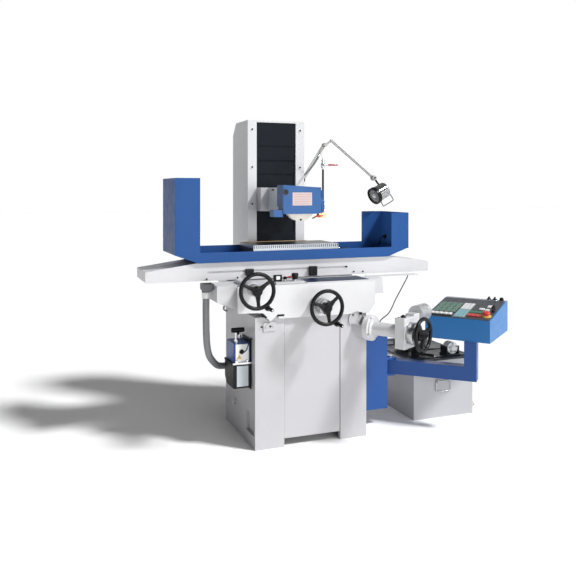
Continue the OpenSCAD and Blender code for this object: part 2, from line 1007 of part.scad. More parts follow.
module speed_lever() color("#17181a") {
  rod_z(speed_place.x, speed_place.y, saddle_top + 20.5, saddle_top + 34, 15);
  rod_z(speed_place.x, speed_place.y, saddle_top + 34, saddle_top + 52, 19);
}

module reverse_lever() color("#8c2f2c") {
  rod_z(reverse_place.x, reverse_place.y, saddle_top + 22.5, saddle_top + 36, 9);
  bar([reverse_place.x, reverse_place.y, saddle_top + 31],
    [reverse_place.x + 32, reverse_place.y - 16, saddle_top + 36], 4);
}

module table_cylinder() color("silver") {
  difference() {
    rod_x(-cylinder_half, cylinder_half, rod_y_mid, rod_high, 20);
    rod_x(-cylinder_half + 12, cylinder_half - 12, rod_y_mid, rod_high, 16);
    rod_x(-cylinder_half - 1, cylinder_half + 1, rod_y_mid, rod_high, rod_r + running);
  }
  // feet on the saddle
  for (x = [-200, 200])
    difference() {
      block(x - 14, x + 14, rod_y_mid - 24, rod_y_mid + 24, saddle_top, rod_high);
      rod_x(x - 15, x + 15, rod_y_mid, rod_high, 20);
    }
}

module front_place(centre) {
  translate(centre)
    rotate([90, 0, 0])
      children();
}

// A turning dial drum lies between the apron and each front handwheel
module table_handwheel() color("#202225") {
  front_place(table_wheel) {
    wheel_body(wheel_od, table_phase, front_lug);
    wheel_hub(300, table_shaft_r);
    translate([0, 0, -132])
      cylinder(r = 34, h = 60);
    translate([0, 0, -72])
      cylinder(r = 30, h = 58);
  }
}

module table_wheel_handle() color("#202225") {
  front_place(table_wheel)
    wheel_handle(wheel_od, front_lug);
}

module cross_handwheel() color("#202225") {
  front_place(cross_wheel) {
    wheel_body(wheel_od, cross_phase, front_lug);
    wheel_hub(540);
    translate([0, 0, -132])
      cylinder(r = 42, h = 60);
    translate([0, 0, -72])
      cylinder(r = 38, h = 58);
  }
}

module cross_wheel_handle() color("#202225") {
  front_place(cross_wheel)
    wheel_handle(wheel_od, front_lug);
}

// ---------- table ----------

module table_outline() {
  polygon([[-table_x, table_bottom + 6], [-table_x + 6, table_bottom],
    [table_x - 6, table_bottom], [table_x, table_bottom + 6],
    [table_x, table_top - wing_drop], [wing_x, table_top], [-wing_x, table_top],
    [-table_x, table_top - wing_drop]]);
}

module table_casting() color("whitesmoke") {
  difference() {
    along_y(table_front, table_back)
      table_outline();
    // hollow underside
    block(-table_x + 24, table_x - 24, channel_front, channel_back, table_bottom - 1,
      table_bottom + 50);
    // groove for the reversing dogs
    block(-513, 306, table_front - 1, table_front + 9, groove_z - 5, groove_z + 5);
    // T slot down the middle of the top
    block(-table_x, table_x, 69, 83, table_top - 14, table_top + 1);
    block(-table_x, table_x, 63, 89, table_top - 24, table_top - 13);
  }
  screws_front([[-518, 864], [-347, 865], [348, 869], [406, 868]], table_front, 5, 3);
}

module cylinder_rod() color("silver") {
  rod_x(-table_x + 24, table_x - 24, rod_y_mid, rod_high, rod_r);
  // piston
  rod_x(-12, 12, rod_y_mid, rod_high, 16 - running);
}

// Cross-section of the tray floor, with its corners turned up
module tray_floor() {
  polygon([[-tray_half, tray_corner_z + sheet], [-tray_half, tray_corner_z],
    [-tray_flat_half, table_top], [tray_flat_half, table_top],
    [tray_half, tray_corner_z], [tray_half, tray_corner_z + sheet],
    [tray_flat_half, table_top + sheet], [-tray_flat_half, table_top + sheet]]);
}

module tray_wall(top) {
  polygon([[-tray_half, top], [-tray_half, tray_corner_z],
    [-tray_flat_half, table_top], [tray_flat_half, table_top],
    [tray_half, tray_corner_z], [tray_half, top]]);
}

module splash_guard() color("#3f66ab") {
  difference() {
    along_y(tray_front, tray_back)
      tray_floor();
    block(-300, 300, table_front + 4, table_back - 4, table_top - 1,
      table_top + sheet + 1);
  }
  along_y(tray_front, tray_front + sheet)
    tray_wall(1005);
  along_y(tray_back - sheet, tray_back)
    tray_wall(table_top + tray_back_h);
  // left tower
  block(-tray_half, -tray_half + sheet, tray_front, tray_back, tray_corner_z,
    tower_left_top);
  block(-tray_half, tower_left_in, tray_front, tray_front + sheet, tray_corner_z,
    tower_left_top);
  block(-tray_half, tower_left_in, tray_back - sheet, tray_back, tray_corner_z,
    tower_left_top);
  // right tower
  block(tray_half, tower_right_out, tray_front, tray_back, tray_corner_z,
    tray_corner_z + sheet);
  block(tower_right_out - sheet, tower_right_out, tray_front, tray_back, tray_corner_z,
    tower_right_top);
  block(tower_right_in, tower_right_out, tray_front, tray_front + sheet, tray_corner_z,
    tower_right_top);
  block(560, tower_right_out, tray_back - sheet, tray_back, tray_corner_z,
    tower_right_top);
  // socket of the chuck's lead, inside the right tower
  rod_x(688, tower_right_out - sheet, 200, 1048, 9);
}

module chuck_body() color("#9a9ca0") {
  chuck_y = table_front + 6;
  block(-chuck_l / 2, chuck_l / 2, chuck_y, chuck_y + chuck_d, table_top,
    table_top + chuck_h - 15);
  // socket of the lead, on the right end near the front
  rod_x(chuck_l / 2, chuck_l / 2 + 8, -30, 1004, 7);
}

module chuck_plate() color("#c9c7c0") {
  chuck_y = table_front + 6;
  block(-chuck_l / 2, chuck_l / 2, chuck_y, chuck_y + chuck_d,
    table_top + chuck_h - 15, table_top + chuck_h);
}

module chuck_lead() color("#151515")
  cord(chuck_lead_route, lead_r + 1);

module dog(x, low, high) {
  block(x - 21.5, x + 21.5, table_front - 24, table_front - gap, low, high);
  block(x - 15, x + 15, table_front - gap, table_front + 8, groove_z - 4.5,
    groove_z + 4.5);
}

module dog_left() color("#17181a")
  dog(-282, 874, 910);

module dog_right() color("#17181a")
  dog(91, 858, 911);

// ---------- head ----------

module head_slide() color("whitesmoke") {
  difference() {
    union() {
      block(-slot_x + 2, slot_x - 2, 214, 283, head_low, head_high);
      block(-100, 100, 283, 306, head_low, head_high - 6);
      block(-122, 122, 306, 506, 1170, 1400);
      // shoes that grip the column's ways
      for (s = [-1, 1])
        block(s < 0 ? -140 : 122, s < 0 ? -122 : 140, 337, 371, 1170, 1400);
      // nut bracket
      block(-50, 50, 505, 575, 1230, 1290);
    }
    rod_y(0, 300, 496, spindle_z, motor_r + 4);
    rod_y(0, 213, 301, spindle_z, bearing_r);
    rod_z(0, screw_y, 1229, 1291, screw_r + running);
  }
}

module head_covers() color("#20242a") {
  cover_section(column_front + 14, head_high, head_high + cover_h);
  cover_section(column_front + 14, lower_moving_low, head_low);
}

module spindle_housing() color("#c8ccd0") {
  difference() {
    block(-77, 77, guard_back, 214, head_low + 2, head_high);
    rod_y(0, guard_back - 1, 215, spindle_z, bearing_r);
    // cooling slot high on the left side
    block(-78, -70, 150, 196, 1334, 1342);
  }
}

module spindle_motor() color("#6e747a") {
  difference() {
    union() {
      rod_y(0, 303, 470, spindle_z, motor_r);
      rod_y(0, 470, 492, spindle_z, motor_r - 12);
    }
    rod_y(0, 302, 430, spindle_z, shaft_r + running);
  }
}

module guard_outline(inset, low) {
  half = guard_w / 2 - inset;
  polygon([[-half, low], [half, low], [half, head_high - inset],
    [-half, 1365 - inset]]);
}

module wheel_guard() color("#3f66ab") {
  difference() {
    along_y(guard_front, guard_back)
      guard_outline(0, 1207);
    along_y(guard_front - 1, guard_back - guard_wall)
      guard_outline(guard_wall, 1200);
    rod_y(0, guard_back - guard_wall - 1, guard_back + 1, spindle_z, bearing_r + 4);
  }
  // fender at the lower left
  block(-166, -guard_w / 2, guard_front, guard_front + 62, 1191, 1229);
  // hinge barrel along the right edge
  for (z = [1215, 1300]) {
    rod_z(guard_w / 2 + 7, guard_front + 2, z, z + 36, 5);
    block(guard_w / 2, guard_w / 2 + 7, guard_front + 4, guard_front + 14, z, z + 36);
  }
  // clamp knob
  rod_x(guard_w / 2, guard_w / 2 + 16, -100, 1272, 5);
  rod_x(guard_w / 2 + 16, guard_w / 2 + 30, -100, 1272, 9);
}

module guard_cover() color("#3f66ab") {
  along_y(guard_front - 6, guard_front - gap)
    guard_outline(0, 1207);
  block(guard_w / 2 - 1, guard_w / 2 + 7, guard_front - 6, guard_front - 2.5, 1254, 1296);
  rod_z(guard_w / 2 + 7, guard_front + 2, 1251.5, 1299.5, 5);
}

module coolant_line() color("#b9bcc0") {
  // feed hose from the column side, hook and valve body
  bar([190, 296, 1432], [136, -50, 1512], 5);
  aim([136, -50, 1512], [valve.x, valve.y, 1520])
    cylinder(r = 6, h = norm([valve.x - 136, -10, 8]));
  difference() {
    union() {
      rod_z(valve.x, valve.y, 1456, 1522, 7);
      rod_z(valve.x, valve.y, valve.z - 14, valve.z + 12, 11);
    }
    rod_y(valve.x, valve.y - 20, valve.y, valve.z, lever_r + running);
  }
  // hose down to the nozzle block
  rod_z(valve.x, valve.y, 1206, 1456, 5.5);
  block(guard_w / 2, valve.x + 8, valve.y - 22, valve.y - 2, 1232, 1252);
  difference() {
    block(120, valve.x + 8, valve.y - 24, valve.y + 8, 1184, 1206);
    rod_y(nozzle_pin_x, valve.y - 25, valve.y - 10, nozzle_z, lever_r + running);
  }
  bar([120, valve.y - 8, 1192], [78, wheel_y, 1182], 4);
}

module coolant_lever() color("#8c2f2c") {
  rod_y(valve.x, valve.y - 22, valve.y - 1, valve.z, lever_r);
  rod_x(valve.x - 5, valve.x + 24, valve.y - 20, valve.z, lever_r);
  rod_x(valve.x + 24, valve.x + 84, valve.y - 20, valve.z, 5);
}

module nozzle_lever() color("#c94a2e") {
  rod_y(nozzle_pin_x, valve.y - 39, valve.y - 11, nozzle_z, lever_r);
  bar([nozzle_pin_x, valve.y - 36, nozzle_z], [88, valve.y - 36, nozzle_z - 5], 5);
}

module spindle() color("silver") {
  rod_y(0, -128, wheel_y - wheel_t / 2, spindle_z, 16);
  rod_y(0, wheel_y - wheel_t / 2, 430, spindle_z, shaft_r);
  // bearing journals
  for (y = [-20, 170])
    rod_y(0, y, y + 40, spindle_z, bearing_r - running);
  rod_y(0, wheel_y - wheel_t / 2 - 9, wheel_y - wheel_t / 2, spindle_z, 38);
  rod_y(0, wheel_y + wheel_t / 2, wheel_y + wheel_t / 2 + 9, spindle_z, 38);
}

module grinding_wheel() color("#e6e1d6") {
  difference() {
    rod_y(0, wheel_y - wheel_t / 2, wheel_y + wheel_t / 2, spindle_z, wheel_dia / 2);
    rod_y(0, wheel_y - wheel_t, wheel_y + wheel_t, spindle_z, shaft_r);
  }
}

// ---------- assembly ----------

base_casting();
base_covers();
column_casting();
fixed_way_covers();
hydraulic_unit();
lubricator();
feed_housing();
feed_motor();
pendant_pillar();
coolant_tank();
coolant_pumps();
lamp_bracket();
hose_elbow();
drain_hose();
side_leads();
tank_handle();
elevating_screw();
saddle_casting();
apron_panels();
drain_funnel();
valve_block();
table_cylinder();
speed_lever();
reverse_lever();
table_handwheel();
table_wheel_handle();
cross_handwheel();
cross_wheel_handle();
table_casting();
cylinder_rod();
splash_guard();
chuck_body();
chuck_plate();
chuck_lead();
dog_left();
dog_right();
head_slide();
head_covers();
spindle_housing();
spindle_motor();
wheel_guard();
coolant_line();
guard_cover();
coolant_lever();
nozzle_lever();
spindle();
grinding_wheel();
upper_cover_high();
upper_cover_low();
feed_handwheel();
feed_wheel_handle();
swing_arm();
console_box();
console_panel();
estop_button();
selector_left();
selector_middle();
lamp_lower_arm();
lamp_upper_arm();
lamp_head();
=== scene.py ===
"""Looks of the surface grinder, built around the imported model.

Sizes and places are in millimetres, as the model has them, and MM turns them into metres.
"""
import json
import math

import bmesh
import bpy
from mathutils import Matrix, Vector
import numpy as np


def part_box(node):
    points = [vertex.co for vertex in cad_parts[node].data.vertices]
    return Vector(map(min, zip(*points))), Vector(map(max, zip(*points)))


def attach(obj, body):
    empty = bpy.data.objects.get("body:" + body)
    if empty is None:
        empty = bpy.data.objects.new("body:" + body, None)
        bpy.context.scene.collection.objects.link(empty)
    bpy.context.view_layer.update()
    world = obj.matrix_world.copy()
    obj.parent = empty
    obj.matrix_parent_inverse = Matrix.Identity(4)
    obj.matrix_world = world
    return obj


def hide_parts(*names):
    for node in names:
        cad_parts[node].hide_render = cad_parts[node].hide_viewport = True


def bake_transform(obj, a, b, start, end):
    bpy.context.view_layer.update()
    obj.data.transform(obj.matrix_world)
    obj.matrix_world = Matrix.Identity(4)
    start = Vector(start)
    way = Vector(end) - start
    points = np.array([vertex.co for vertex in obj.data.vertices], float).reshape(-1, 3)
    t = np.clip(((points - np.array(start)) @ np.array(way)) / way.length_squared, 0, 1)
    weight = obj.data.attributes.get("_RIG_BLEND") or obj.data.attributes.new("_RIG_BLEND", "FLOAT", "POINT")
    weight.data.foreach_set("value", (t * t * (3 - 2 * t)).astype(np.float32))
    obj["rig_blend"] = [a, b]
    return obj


MM = 0.001
X_AXIS, Y_AXIS, Z_AXIS = Vector((1, 0, 0)), Vector((0, 1, 0)), Vector((0, 0, 1))
FRONT = -Y_AXIS
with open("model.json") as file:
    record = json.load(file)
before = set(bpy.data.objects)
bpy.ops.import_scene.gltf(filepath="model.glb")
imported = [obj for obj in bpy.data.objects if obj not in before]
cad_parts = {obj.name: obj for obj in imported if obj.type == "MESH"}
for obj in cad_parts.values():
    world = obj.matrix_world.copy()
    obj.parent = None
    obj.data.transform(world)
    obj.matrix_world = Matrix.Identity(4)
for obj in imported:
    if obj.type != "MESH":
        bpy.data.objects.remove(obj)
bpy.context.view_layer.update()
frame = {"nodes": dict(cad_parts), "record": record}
BEHAVIOUR = frame["record"]["behaviour"]
NODE_BODY = {n: b for b, nodes in BEHAVIOUR["bodies"].items() for n in nodes}
JOINTS = {j["name"]: j for j in BEHAVIOUR["joints"]}
scene = bpy.context.scene


def mm_box(node):
    """Lowest and highest corners of a CAD node, in millimetres."""
    low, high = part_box(node)
    return low / MM, high / MM


def joint_place(name):
    return Vector(JOINTS[name]["pos_m"]) / MM


# ---------- camera, lights and floor, in metres ----------

CAMERA_PLACE = (-1.4386, -3.697, 1.335)
CAMERA_TURN = math.radians(-20.81)
CAMERA_LENS = 43.87
CAMERA_SHIFT = -0.1693

# the world's brightness: direction, where it starts and stops changing, brightness there
WORLD_FADES = (("Z", 0.27, 0.45, 1.0, 0.2), ("X", -0.5, -0.05, 0.34, 1.0))

SUN_TOWARD, SUN_STRENGTH, SUN_ANGLE = (-0.74, 0.67, -1.15), 3.5, math.radians(9)
SOFTBOX_PLACE, SOFTBOX_AIM = Vector((0.9, -4.8, 1.3)), Vector((0.1, 0, 0.9))
SPOT_PLACE, SPOT_AIM = Vector((-1.6, -1.6, 0.98)), Vector((0.66, 0.12, 1.08))
FLOOR_HALF = 40.0


def make_camera():
    data = bpy.data.cameras.new("camera")
    data.lens = CAMERA_LENS
    data.sensor_width = 36
    data.shift_y = CAMERA_SHIFT
    data.clip_end = 100
    camera = bpy.data.objects.new("camera", data)
    camera.location = CAMERA_PLACE
    camera.rotation_euler = (math.pi / 2, 0, CAMERA_TURN)
    scene.collection.objects.link(camera)
    scene.camera = camera


def add_light(kind, name, power, toward, place=(0, 0, 0), **settings):
    data = bpy.data.lights.new(name, kind)
    data.energy = power
    for key, value in settings.items():
        setattr(data, key, value)
    light = bpy.data.objects.new(name, data)
    light.location = place
    light.rotation_euler = Vector(toward).to_track_quat("-Z", "Y").to_euler()
    scene.collection.objects.link(light)


def set_range(node, *numbers):
    for socket, number in zip(("From Min", "From Max", "To Min", "To Max"), numbers):
        node.inputs[socket].default_value = number


def make_world():
    """Bright near the horizon, dimmer overhead and to the left, so that shadows show."""
    world = bpy.data.worlds.new("studio")
    world.use_nodes = True
    nodes, links = world.node_tree.nodes, world.node_tree.links
    parts = nodes.new("ShaderNodeSeparateXYZ")
    links.new(nodes.new("ShaderNodeTexCoord").outputs["Generated"], parts.inputs[0])
    both = nodes.new("ShaderNodeMath")
    both.operation = "MULTIPLY"
    for number, (axis, *numbers) in enumerate(WORLD_FADES):
        fade = nodes.new("ShaderNodeMapRange")
        set_range(fade, *numbers)
        links.new(parts.outputs[axis], fade.inputs["Value"])
        links.new(fade.outputs["Result"], both.inputs[number])
    links.new(both.outputs[0], nodes["Background"].inputs["Strength"])
    nodes["Background"].inputs["Color"].default_value = (1, 1, 1, 1)
    scene.world = world


def make_lights():
    make_world()
    add_light("SUN", "key", SUN_STRENGTH, SUN_TOWARD, angle=SUN_ANGLE)
    add_light("AREA", "front", 60, SOFTBOX_AIM - SOFTBOX_PLACE, SOFTBOX_PLACE,
              shape="RECTANGLE", size=2.4, size_y=1.4)
    add_light("SPOT", "tray", 120, SPOT_AIM - SPOT_PLACE, SPOT_PLACE,
              spot_size=math.radians(11), spot_blend=0.8, shadow_soft_size=0.15)
    scene.view_settings.view_transform = "Standard"
    scene.view_settings.exposure = 0.0


def make_floor():
    h = FLOOR_HALF
    mesh = bpy.data.meshes.new("floor")
    mesh.from_pydata([(-h, -h, 0), (h, -h, 0), (h, h, 0), (-h, h, 0)], [], [(0, 1, 2, 3)])
    floor = bpy.data.objects.new("floor", mesh)
    scene.collection.objects.link(floor)
    paint = bpy.data.materials.new("pale_floor")
    paint.use_nodes = True
    shader = paint.node_tree.nodes["Principled BSDF"]
    shader.inputs["Base Color"].default_value = (0.95, 0.95, 0.95, 1)
    shader.inputs["Roughness"].default_value = 0.9
    shader.inputs["Specular IOR Level"].default_value = 0.1
    mesh.materials.append(paint)


# ---------- materials ----------

class Paint:
    """A node material: colour that varies a little, uneven gloss, and a fine surface."""

    def __init__(self, name, colour, rough=0.4, metallic=0.0):
        self.material = bpy.data.materials.new(name)
        self.material.use_nodes = True
        self.tree = self.material.node_tree
        self.shader = self.tree.nodes["Principled BSDF"]
        self.colour = colour
        self.set("Metallic", metallic)
        self.place = self.node("ShaderNodeTexCoord").outputs["Object"]
        base = self.node("ShaderNodeRGB")
        base.outputs[0].default_value = (*colour, 1)
        self.tone = base.outputs[0]
        self.rough = rough
        self.height = None

    def node(self, kind, **settings):
        made = self.tree.nodes.new(kind)
        for key, value in settings.items():
            setattr(made, key, value)
        return made

    def set(self, socket, value):
        self.shader.inputs[socket].default_value = value
        return self

    def link(self, output, target):
        self.tree.links.new(output, target)

    def noise(self, size, detail=3.0, stretch=None):
        """Noise whose blobs are about size millimetres across."""
        texture = self.node("ShaderNodeTexNoise")
        texture.inputs["Scale"].default_value = 1 / (size * MM)
        texture.inputs["Detail"].default_value = detail
        texture.inputs["Roughness"].default_value = 0.55
        place = self.place
        if stretch:
            mapping = self.node("ShaderNodeMapping")
            mapping.inputs["Scale"].default_value = stretch
            self.link(place, mapping.inputs["Vector"])
            place = mapping.outputs["Vector"]
        self.link(place, texture.inputs["Vector"])
        return texture.outputs["Fac"]

    def ranged(self, value, low, high, a=0.3, b=0.7):
        """Turns a to b into low to high."""
        made = self.node("ShaderNodeMapRange")
        set_range(made, a, b, low, high)
        self.link(value, made.inputs["Value"])
        return made.outputs["Result"]

    def maths(self, operation, *inputs):
        """A Math node; each input is a number or another node's output."""
        made = self.node("ShaderNodeMath", operation=operation)
        for number, value in enumerate(inputs):
            if isinstance(value, float):
                made.inputs[number].default_value = value
            else:
                self.link(value, made.inputs[number])
        return made.outputs[0]

    def mix(self, factor, first, second):
        made = self.node("ShaderNodeMix", data_type="RGBA")
        self.link(factor, made.inputs[0])
        for socket, value in ((made.inputs[6], first), (made.inputs[7], second)):
            if isinstance(value, tuple):
                socket.default_value = (*value, 1)
            else:
                self.link(value, socket)
        return made.outputs[2]

    def tint(self, size, amount, toward=None, stretch=None):
        """Colour varies over patches of that size by that amount."""
        other = toward or tuple(c * (1 - amount) for c in self.colour)
        factor = self.ranged(self.noise(size, stretch=stretch), 0, amount if toward else 1)
        self.tone = self.mix(factor, self.tone, other)
        return self

    def uneven(self, size, amount, stretch=None):
        """Roughness varies over patches of that size by that amount."""
        low, high = max(0.02, self.rough - amount), min(1.0, self.rough + amount)
        self.link(self.ranged(self.noise(size, stretch=stretch), low, high),
                  self.shader.inputs["Roughness"])
        return self

    def bump(self, size, depth, stretch=None, detail=2.0, value=None):
        """Surface relief of that size, and of that depth in millimetres."""
        made = self.node("ShaderNodeBump")
        made.inputs["Strength"].default_value = 1.0
        made.inputs["Distance"].default_value = depth * MM
        self.link(value or self.noise(size, detail, stretch), made.inputs["Height"])
        if self.height:
            self.link(self.height, made.inputs["Normal"])
        self.height = made.outputs["Normal"]
        return self

    def worn(self, edge_colour, amount):
        """Edges are a little lighter or darker, where paint thins and dirt collects."""
        soft = self.node("ShaderNodeBevel")
        soft.samples = 4
        soft.inputs["Radius"].default_value = 2 * MM
        dot = self.node("ShaderNodeVectorMath", operation="DOT_PRODUCT")
        self.link(soft.outputs[0], dot.inputs[0])
        self.link(self.node("ShaderNodeNewGeometry").outputs["True Normal"], dot.inputs[1])
        edge = self.ranged(dot.outputs["Value"], amount, 0, 0.75, 0.97)
        broken = self.maths("MULTIPLY", edge, self.ranged(self.noise(9), 0, 1, 0.42, 0.6))
        self.tone = self.mix(broken, self.tone, edge_colour)
        return self

    def done(self):
        """Roughness is linked already by uneven, or set as a number, as in the abrasive."""
        self.link(self.tone, self.shader.inputs["Base Color"])
        self.link(self.height, self.shader.inputs["Normal"])
        return self.material


def enamel(name, colour, rough=0.34, gloss=0.5, coat=0.18, wear=None):
    """Sprayed machine enamel, with orange peel and a thin clear gloss."""
    paint = Paint(name, colour, rough)
    paint.set("Coat Weight", coat).set("Coat Roughness", 0.22).set("Specular IOR Level", gloss)
    paint.tint(240, 0.05).tint(14, 0.025).uneven(40, 0.06)
    paint.bump(3.2, 0.05, detail=1.5).bump(60, 0.15, detail=1)
    return (paint.worn(wear, 0.22) if wear else paint).done()


def cast_enamel(name, colour):
    """Enamel over a cast surface, with soft pits and filler waves."""
    paint = Paint(name, colour, 0.42)
    paint.set("Coat Weight", 0.12).set("Coat Roughness", 0.3)
    paint.tint(300, 0.06).tint(20, 0.03).uneven(50, 0.07)
    paint.bump(5, 0.10, detail=3).bump(90, 0.5, detail=1)
    return paint.worn((0.32, 0.32, 0.32), 0.25).done()


def steel(name, colour=(0.56, 0.57, 0.58), rough=0.28, stretch=(1, 30, 30)):
    """Ground or brushed steel: fine lines along one direction."""
    size = 12
    paint = Paint(name, colour, rough, metallic=1.0)
    paint.tint(120, 0.10).tint(size, 0.16, stretch=stretch).uneven(size, 0.10, stretch)
    return paint.bump(size, 0.03, stretch, detail=4).done()


def chrome(name, colour=(0.78, 0.79, 0.80), rough=0.12):
    paint = Paint(name, colour, rough, metallic=1.0)
    return paint.tint(30, 0.06).uneven(18, 0.05).bump(8, 0.01).done()


def plastic(name, colour, rough=0.38, grain=0.04, gloss=0.5):
    paint = Paint(name, colour, rough).set("Specular IOR Level", gloss)
    return paint.tint(60, 0.08).uneven(25, 0.07).bump(1.2, grain, detail=2).done()


def rubber(name, colour):
    paint = Paint(name, colour, 0.62).set("Specular IOR Level", 0.25)
    return paint.tint(15, 0.2, toward=(0.02, 0.02, 0.021)).uneven(12, 0.1).bump(1.6, 0.06).done()


def alloy(name, colour):
    """Cast or spun aluminium."""
    paint = Paint(name, colour, 0.42, metallic=0.85)
    return paint.tint(70, 0.08).tint(6, 0.06).uneven(20, 0.08).bump(2.2, 0.06, detail=3).done()


def abrasive(name, colour):
    """Bonded grit: small cells of two tones with open pores."""
    paint = Paint(name, colour, 0.85)
    cells = paint.node("ShaderNodeTexVoronoi")
    cells.inputs["Scale"].default_value = 1 / (1.4 * MM)
    paint.link(paint.place, cells.inputs["Vector"])
    paint.tone = paint.mix(paint.ranged(cells.outputs["Distance"], 0, 0.8, 0.2, 0.7),
                           paint.tone, (0.92, 0.90, 0.85))
    paint.set("Roughness", paint.rough).tint(40, 0.08)
    return paint.bump(1.4, 0.25, value=cells.outputs["Distance"]).done()


def braid(name, colour):
    """Braided hose cover: two crossing sets of strands along the hose's own length."""
    paint = Paint(name, colour, 0.45)
    parts = paint.node("ShaderNodeSeparateXYZ")
    paint.link(paint.node("ShaderNodeUVMap").outputs["UV"], parts.inputs[0])
    strands = []
    for slope in (3.0, -3.0):
        slant = paint.maths("MULTIPLY_ADD", parts.outputs["Y"], slope, parts.outputs["X"])
        strands.append(paint.maths("SINE", paint.maths("MULTIPLY", slant, 2 * math.pi * 6)))
    over = paint.maths("MAXIMUM", *strands)
    paint.tone = paint.mix(paint.ranged(over, 0, 1, -0.2, 1), (0.13, 0.13, 0.14), paint.tone)
    return paint.bump(1, 0.8, value=over).uneven(10, 0.08).done()


WHITE = enamel("white_enamel", (0.62, 0.62, 0.635), wear=(0.30, 0.30, 0.30))
WHITE_CAST = cast_enamel("white_cast_enamel", (0.58, 0.58, 0.60))
BASE_WHITE = cast_enamel("base_enamel", (0.47, 0.465, 0.485))
COLUMN_WHITE = enamel("column_enamel", (0.60, 0.605, 0.62), wear=(0.30, 0.30, 0.30))
GREY_ENAMEL = enamel("grey_enamel", (0.46, 0.465, 0.48))
GREY_HOUSING = enamel("housing_enamel", (0.60, 0.64, 0.67))
TANK_GREY = enamel("tank_enamel", (0.42, 0.42, 0.435))
PALE_ALLOY = enamel("pale_alloy", (0.40, 0.40, 0.39), 0.4)
DARK_ENAMEL = enamel("dark_enamel", (0.030, 0.034, 0.040), gloss=0.3, coat=0.05)
BLUE = enamel("blue_enamel", (0.022, 0.100, 0.290), 0.36, gloss=0.22, coat=0.03)
# painted light: the same blue enamel as the other blue parts, made lighter on the console to stand in for
# light its faces miss
CONSOLE_BLUE_PAINTED_LIGHT = enamel("console_enamel_painted_light", (0.026, 0.160, 0.42), 0.36, gloss=0.22, coat=0.03)
TRAY_BLUE = enamel("tray_enamel", (0.022, 0.080, 0.255), 0.4, gloss=0.10, coat=0.0)
DEEP_BLUE = enamel("deep_blue_enamel", (0.014, 0.070, 0.265), 0.34, gloss=0.34, coat=0.05)
COVER_BLACK = enamel("cover_black", (0.0045, 0.008, 0.013), 0.55, gloss=0.14, coat=0.0)
NAVY = enamel("pan_navy", (0.006, 0.020, 0.055), 0.42, gloss=0.2, coat=0.0)
FUNNEL_GREY = enamel("funnel_grey", (0.085, 0.088, 0.098), 0.45, gloss=0.3, coat=0.0)
STEEL = steel("ground_steel")
STEEL_ROUND = steel("turned_steel", rough=0.24, stretch=(30, 30, 1))
CHUCK_SIDE = steel("chuck_side", (0.40, 0.43, 0.47), 0.40)
CHUCK_FACE = steel("chuck_face", (0.14, 0.14, 0.145), 0.34)
ROD_STEEL = steel("rod_steel", (0.16, 0.16, 0.16), 0.4)
BLACK_OXIDE = steel("black_oxide", (0.022, 0.022, 0.024), 0.42)
BRASS = chrome("brass", (0.72, 0.52, 0.20), 0.22)
BRONZE = chrome("bronze", (0.30, 0.21, 0.12), 0.35)
CHROME = chrome("chrome")
SHEET_LABEL = plastic("sheet_label", (0.43, 0.47, 0.51), 0.42, grain=0.01)
CHUCK_END = plastic("chuck_end_resin", (0.035, 0.022, 0.016), 0.45)
CHUCK_GAP = plastic("chuck_gaps", (0.02, 0.02, 0.021), 0.5)
BLACK_PLASTIC = plastic("black_plastic", (0.004, 0.004, 0.0045), 0.34, gloss=0.24)
BLACK_MATT = plastic("black_matt", (0.005, 0.005, 0.006), 0.5, gloss=0.2)
DIM_PLASTIC = plastic("grey_plastic", (0.30, 0.31, 0.33), 0.45)
WHITE_PLASTIC = plastic("white_plastic", (0.78, 0.78, 0.78), 0.36)
LABEL = plastic("label_film", (0.56, 0.46, 0.45), 0.45, grain=0.01)
LABEL_LINE = plastic("label_line", (0.46, 0.25, 0.25), 0.45, grain=0.01)
KEYPAD = plastic("keypad_film", (0.060, 0.064, 0.075), 0.42)
DISPLAY = plastic("display_film", (0.085, 0.17, 0.145), 0.30)
DISPLAY_BAR = plastic("display_bar", (0.15, 0.30, 0.22), 0.30)
KEY_CYAN = plastic("cyan_keys", (0.24, 0.46, 0.50), 0.4)
KEY_GREEN = plastic("green_keys", (0.045, 0.20, 0.12), 0.4)
KEY_RED = plastic("red_keys", (0.55, 0.06, 0.05), 0.35)
STOP_RED = plastic("stop_red", (0.68, 0.045, 0.04), 0.28)
STOP_YELLOW = plastic("stop_yellow", (0.68, 0.44, 0.09), 0.35)
DARK_RED = plastic("dark_red_grip", (0.36, 0.02, 0.03), 0.3)
ORANGE_RED = plastic("orange_red_grip", (0.62, 0.07, 0.02), 0.3)
GLASS_GREY = plastic("lens_grey", (0.20, 0.20, 0.21), 0.12)
RUBBER = rubber("black_rubber", (0.006, 0.006, 0.007))
ALLOY = alloy("cast_alloy", (0.60, 0.61, 0.62))
WHEEL_GRIT = abrasive("abrasive", (0.80, 0.76, 0.68))
BRAID = braid("braided_hose", (0.33, 0.34, 0.36))


# ---------- shapes ----------

def along(axis):
    """Two directions square to an axis."""
    start = Z_AXIS if abs(axis.z) < 0.9 else X_AXIS
    first = (start - axis * start.dot(axis)).normalized()
    return first, axis.cross(first)


def circle(centre, u, v, r, n):
    """n points round a centre, in the plane of u and v."""
    turns = [2 * math.pi * k / n for k in range(n)]
    return [centre + r * (u * math.cos(a) + v * math.sin(a)) for a in turns]


def smooth_path(points, steps=6):
    """A smooth line through the points."""
    p = [Vector(q) for q in points]
    p = [2 * p[0] - p[1], *p, 2 * p[-1] - p[-2]]
    made = []
    for a, b, c, d in zip(p, p[1:], p[2:], p[3:]):
        for k in range(steps):
            t = k / steps
            made.append(0.5 * (2 * b + (c - a) * t + (2 * a - 5 * b + 4 * c - d) * t * t
                               + (3 * b - a - 3 * c + d) * t ** 3))
    return made + [p[-2]]


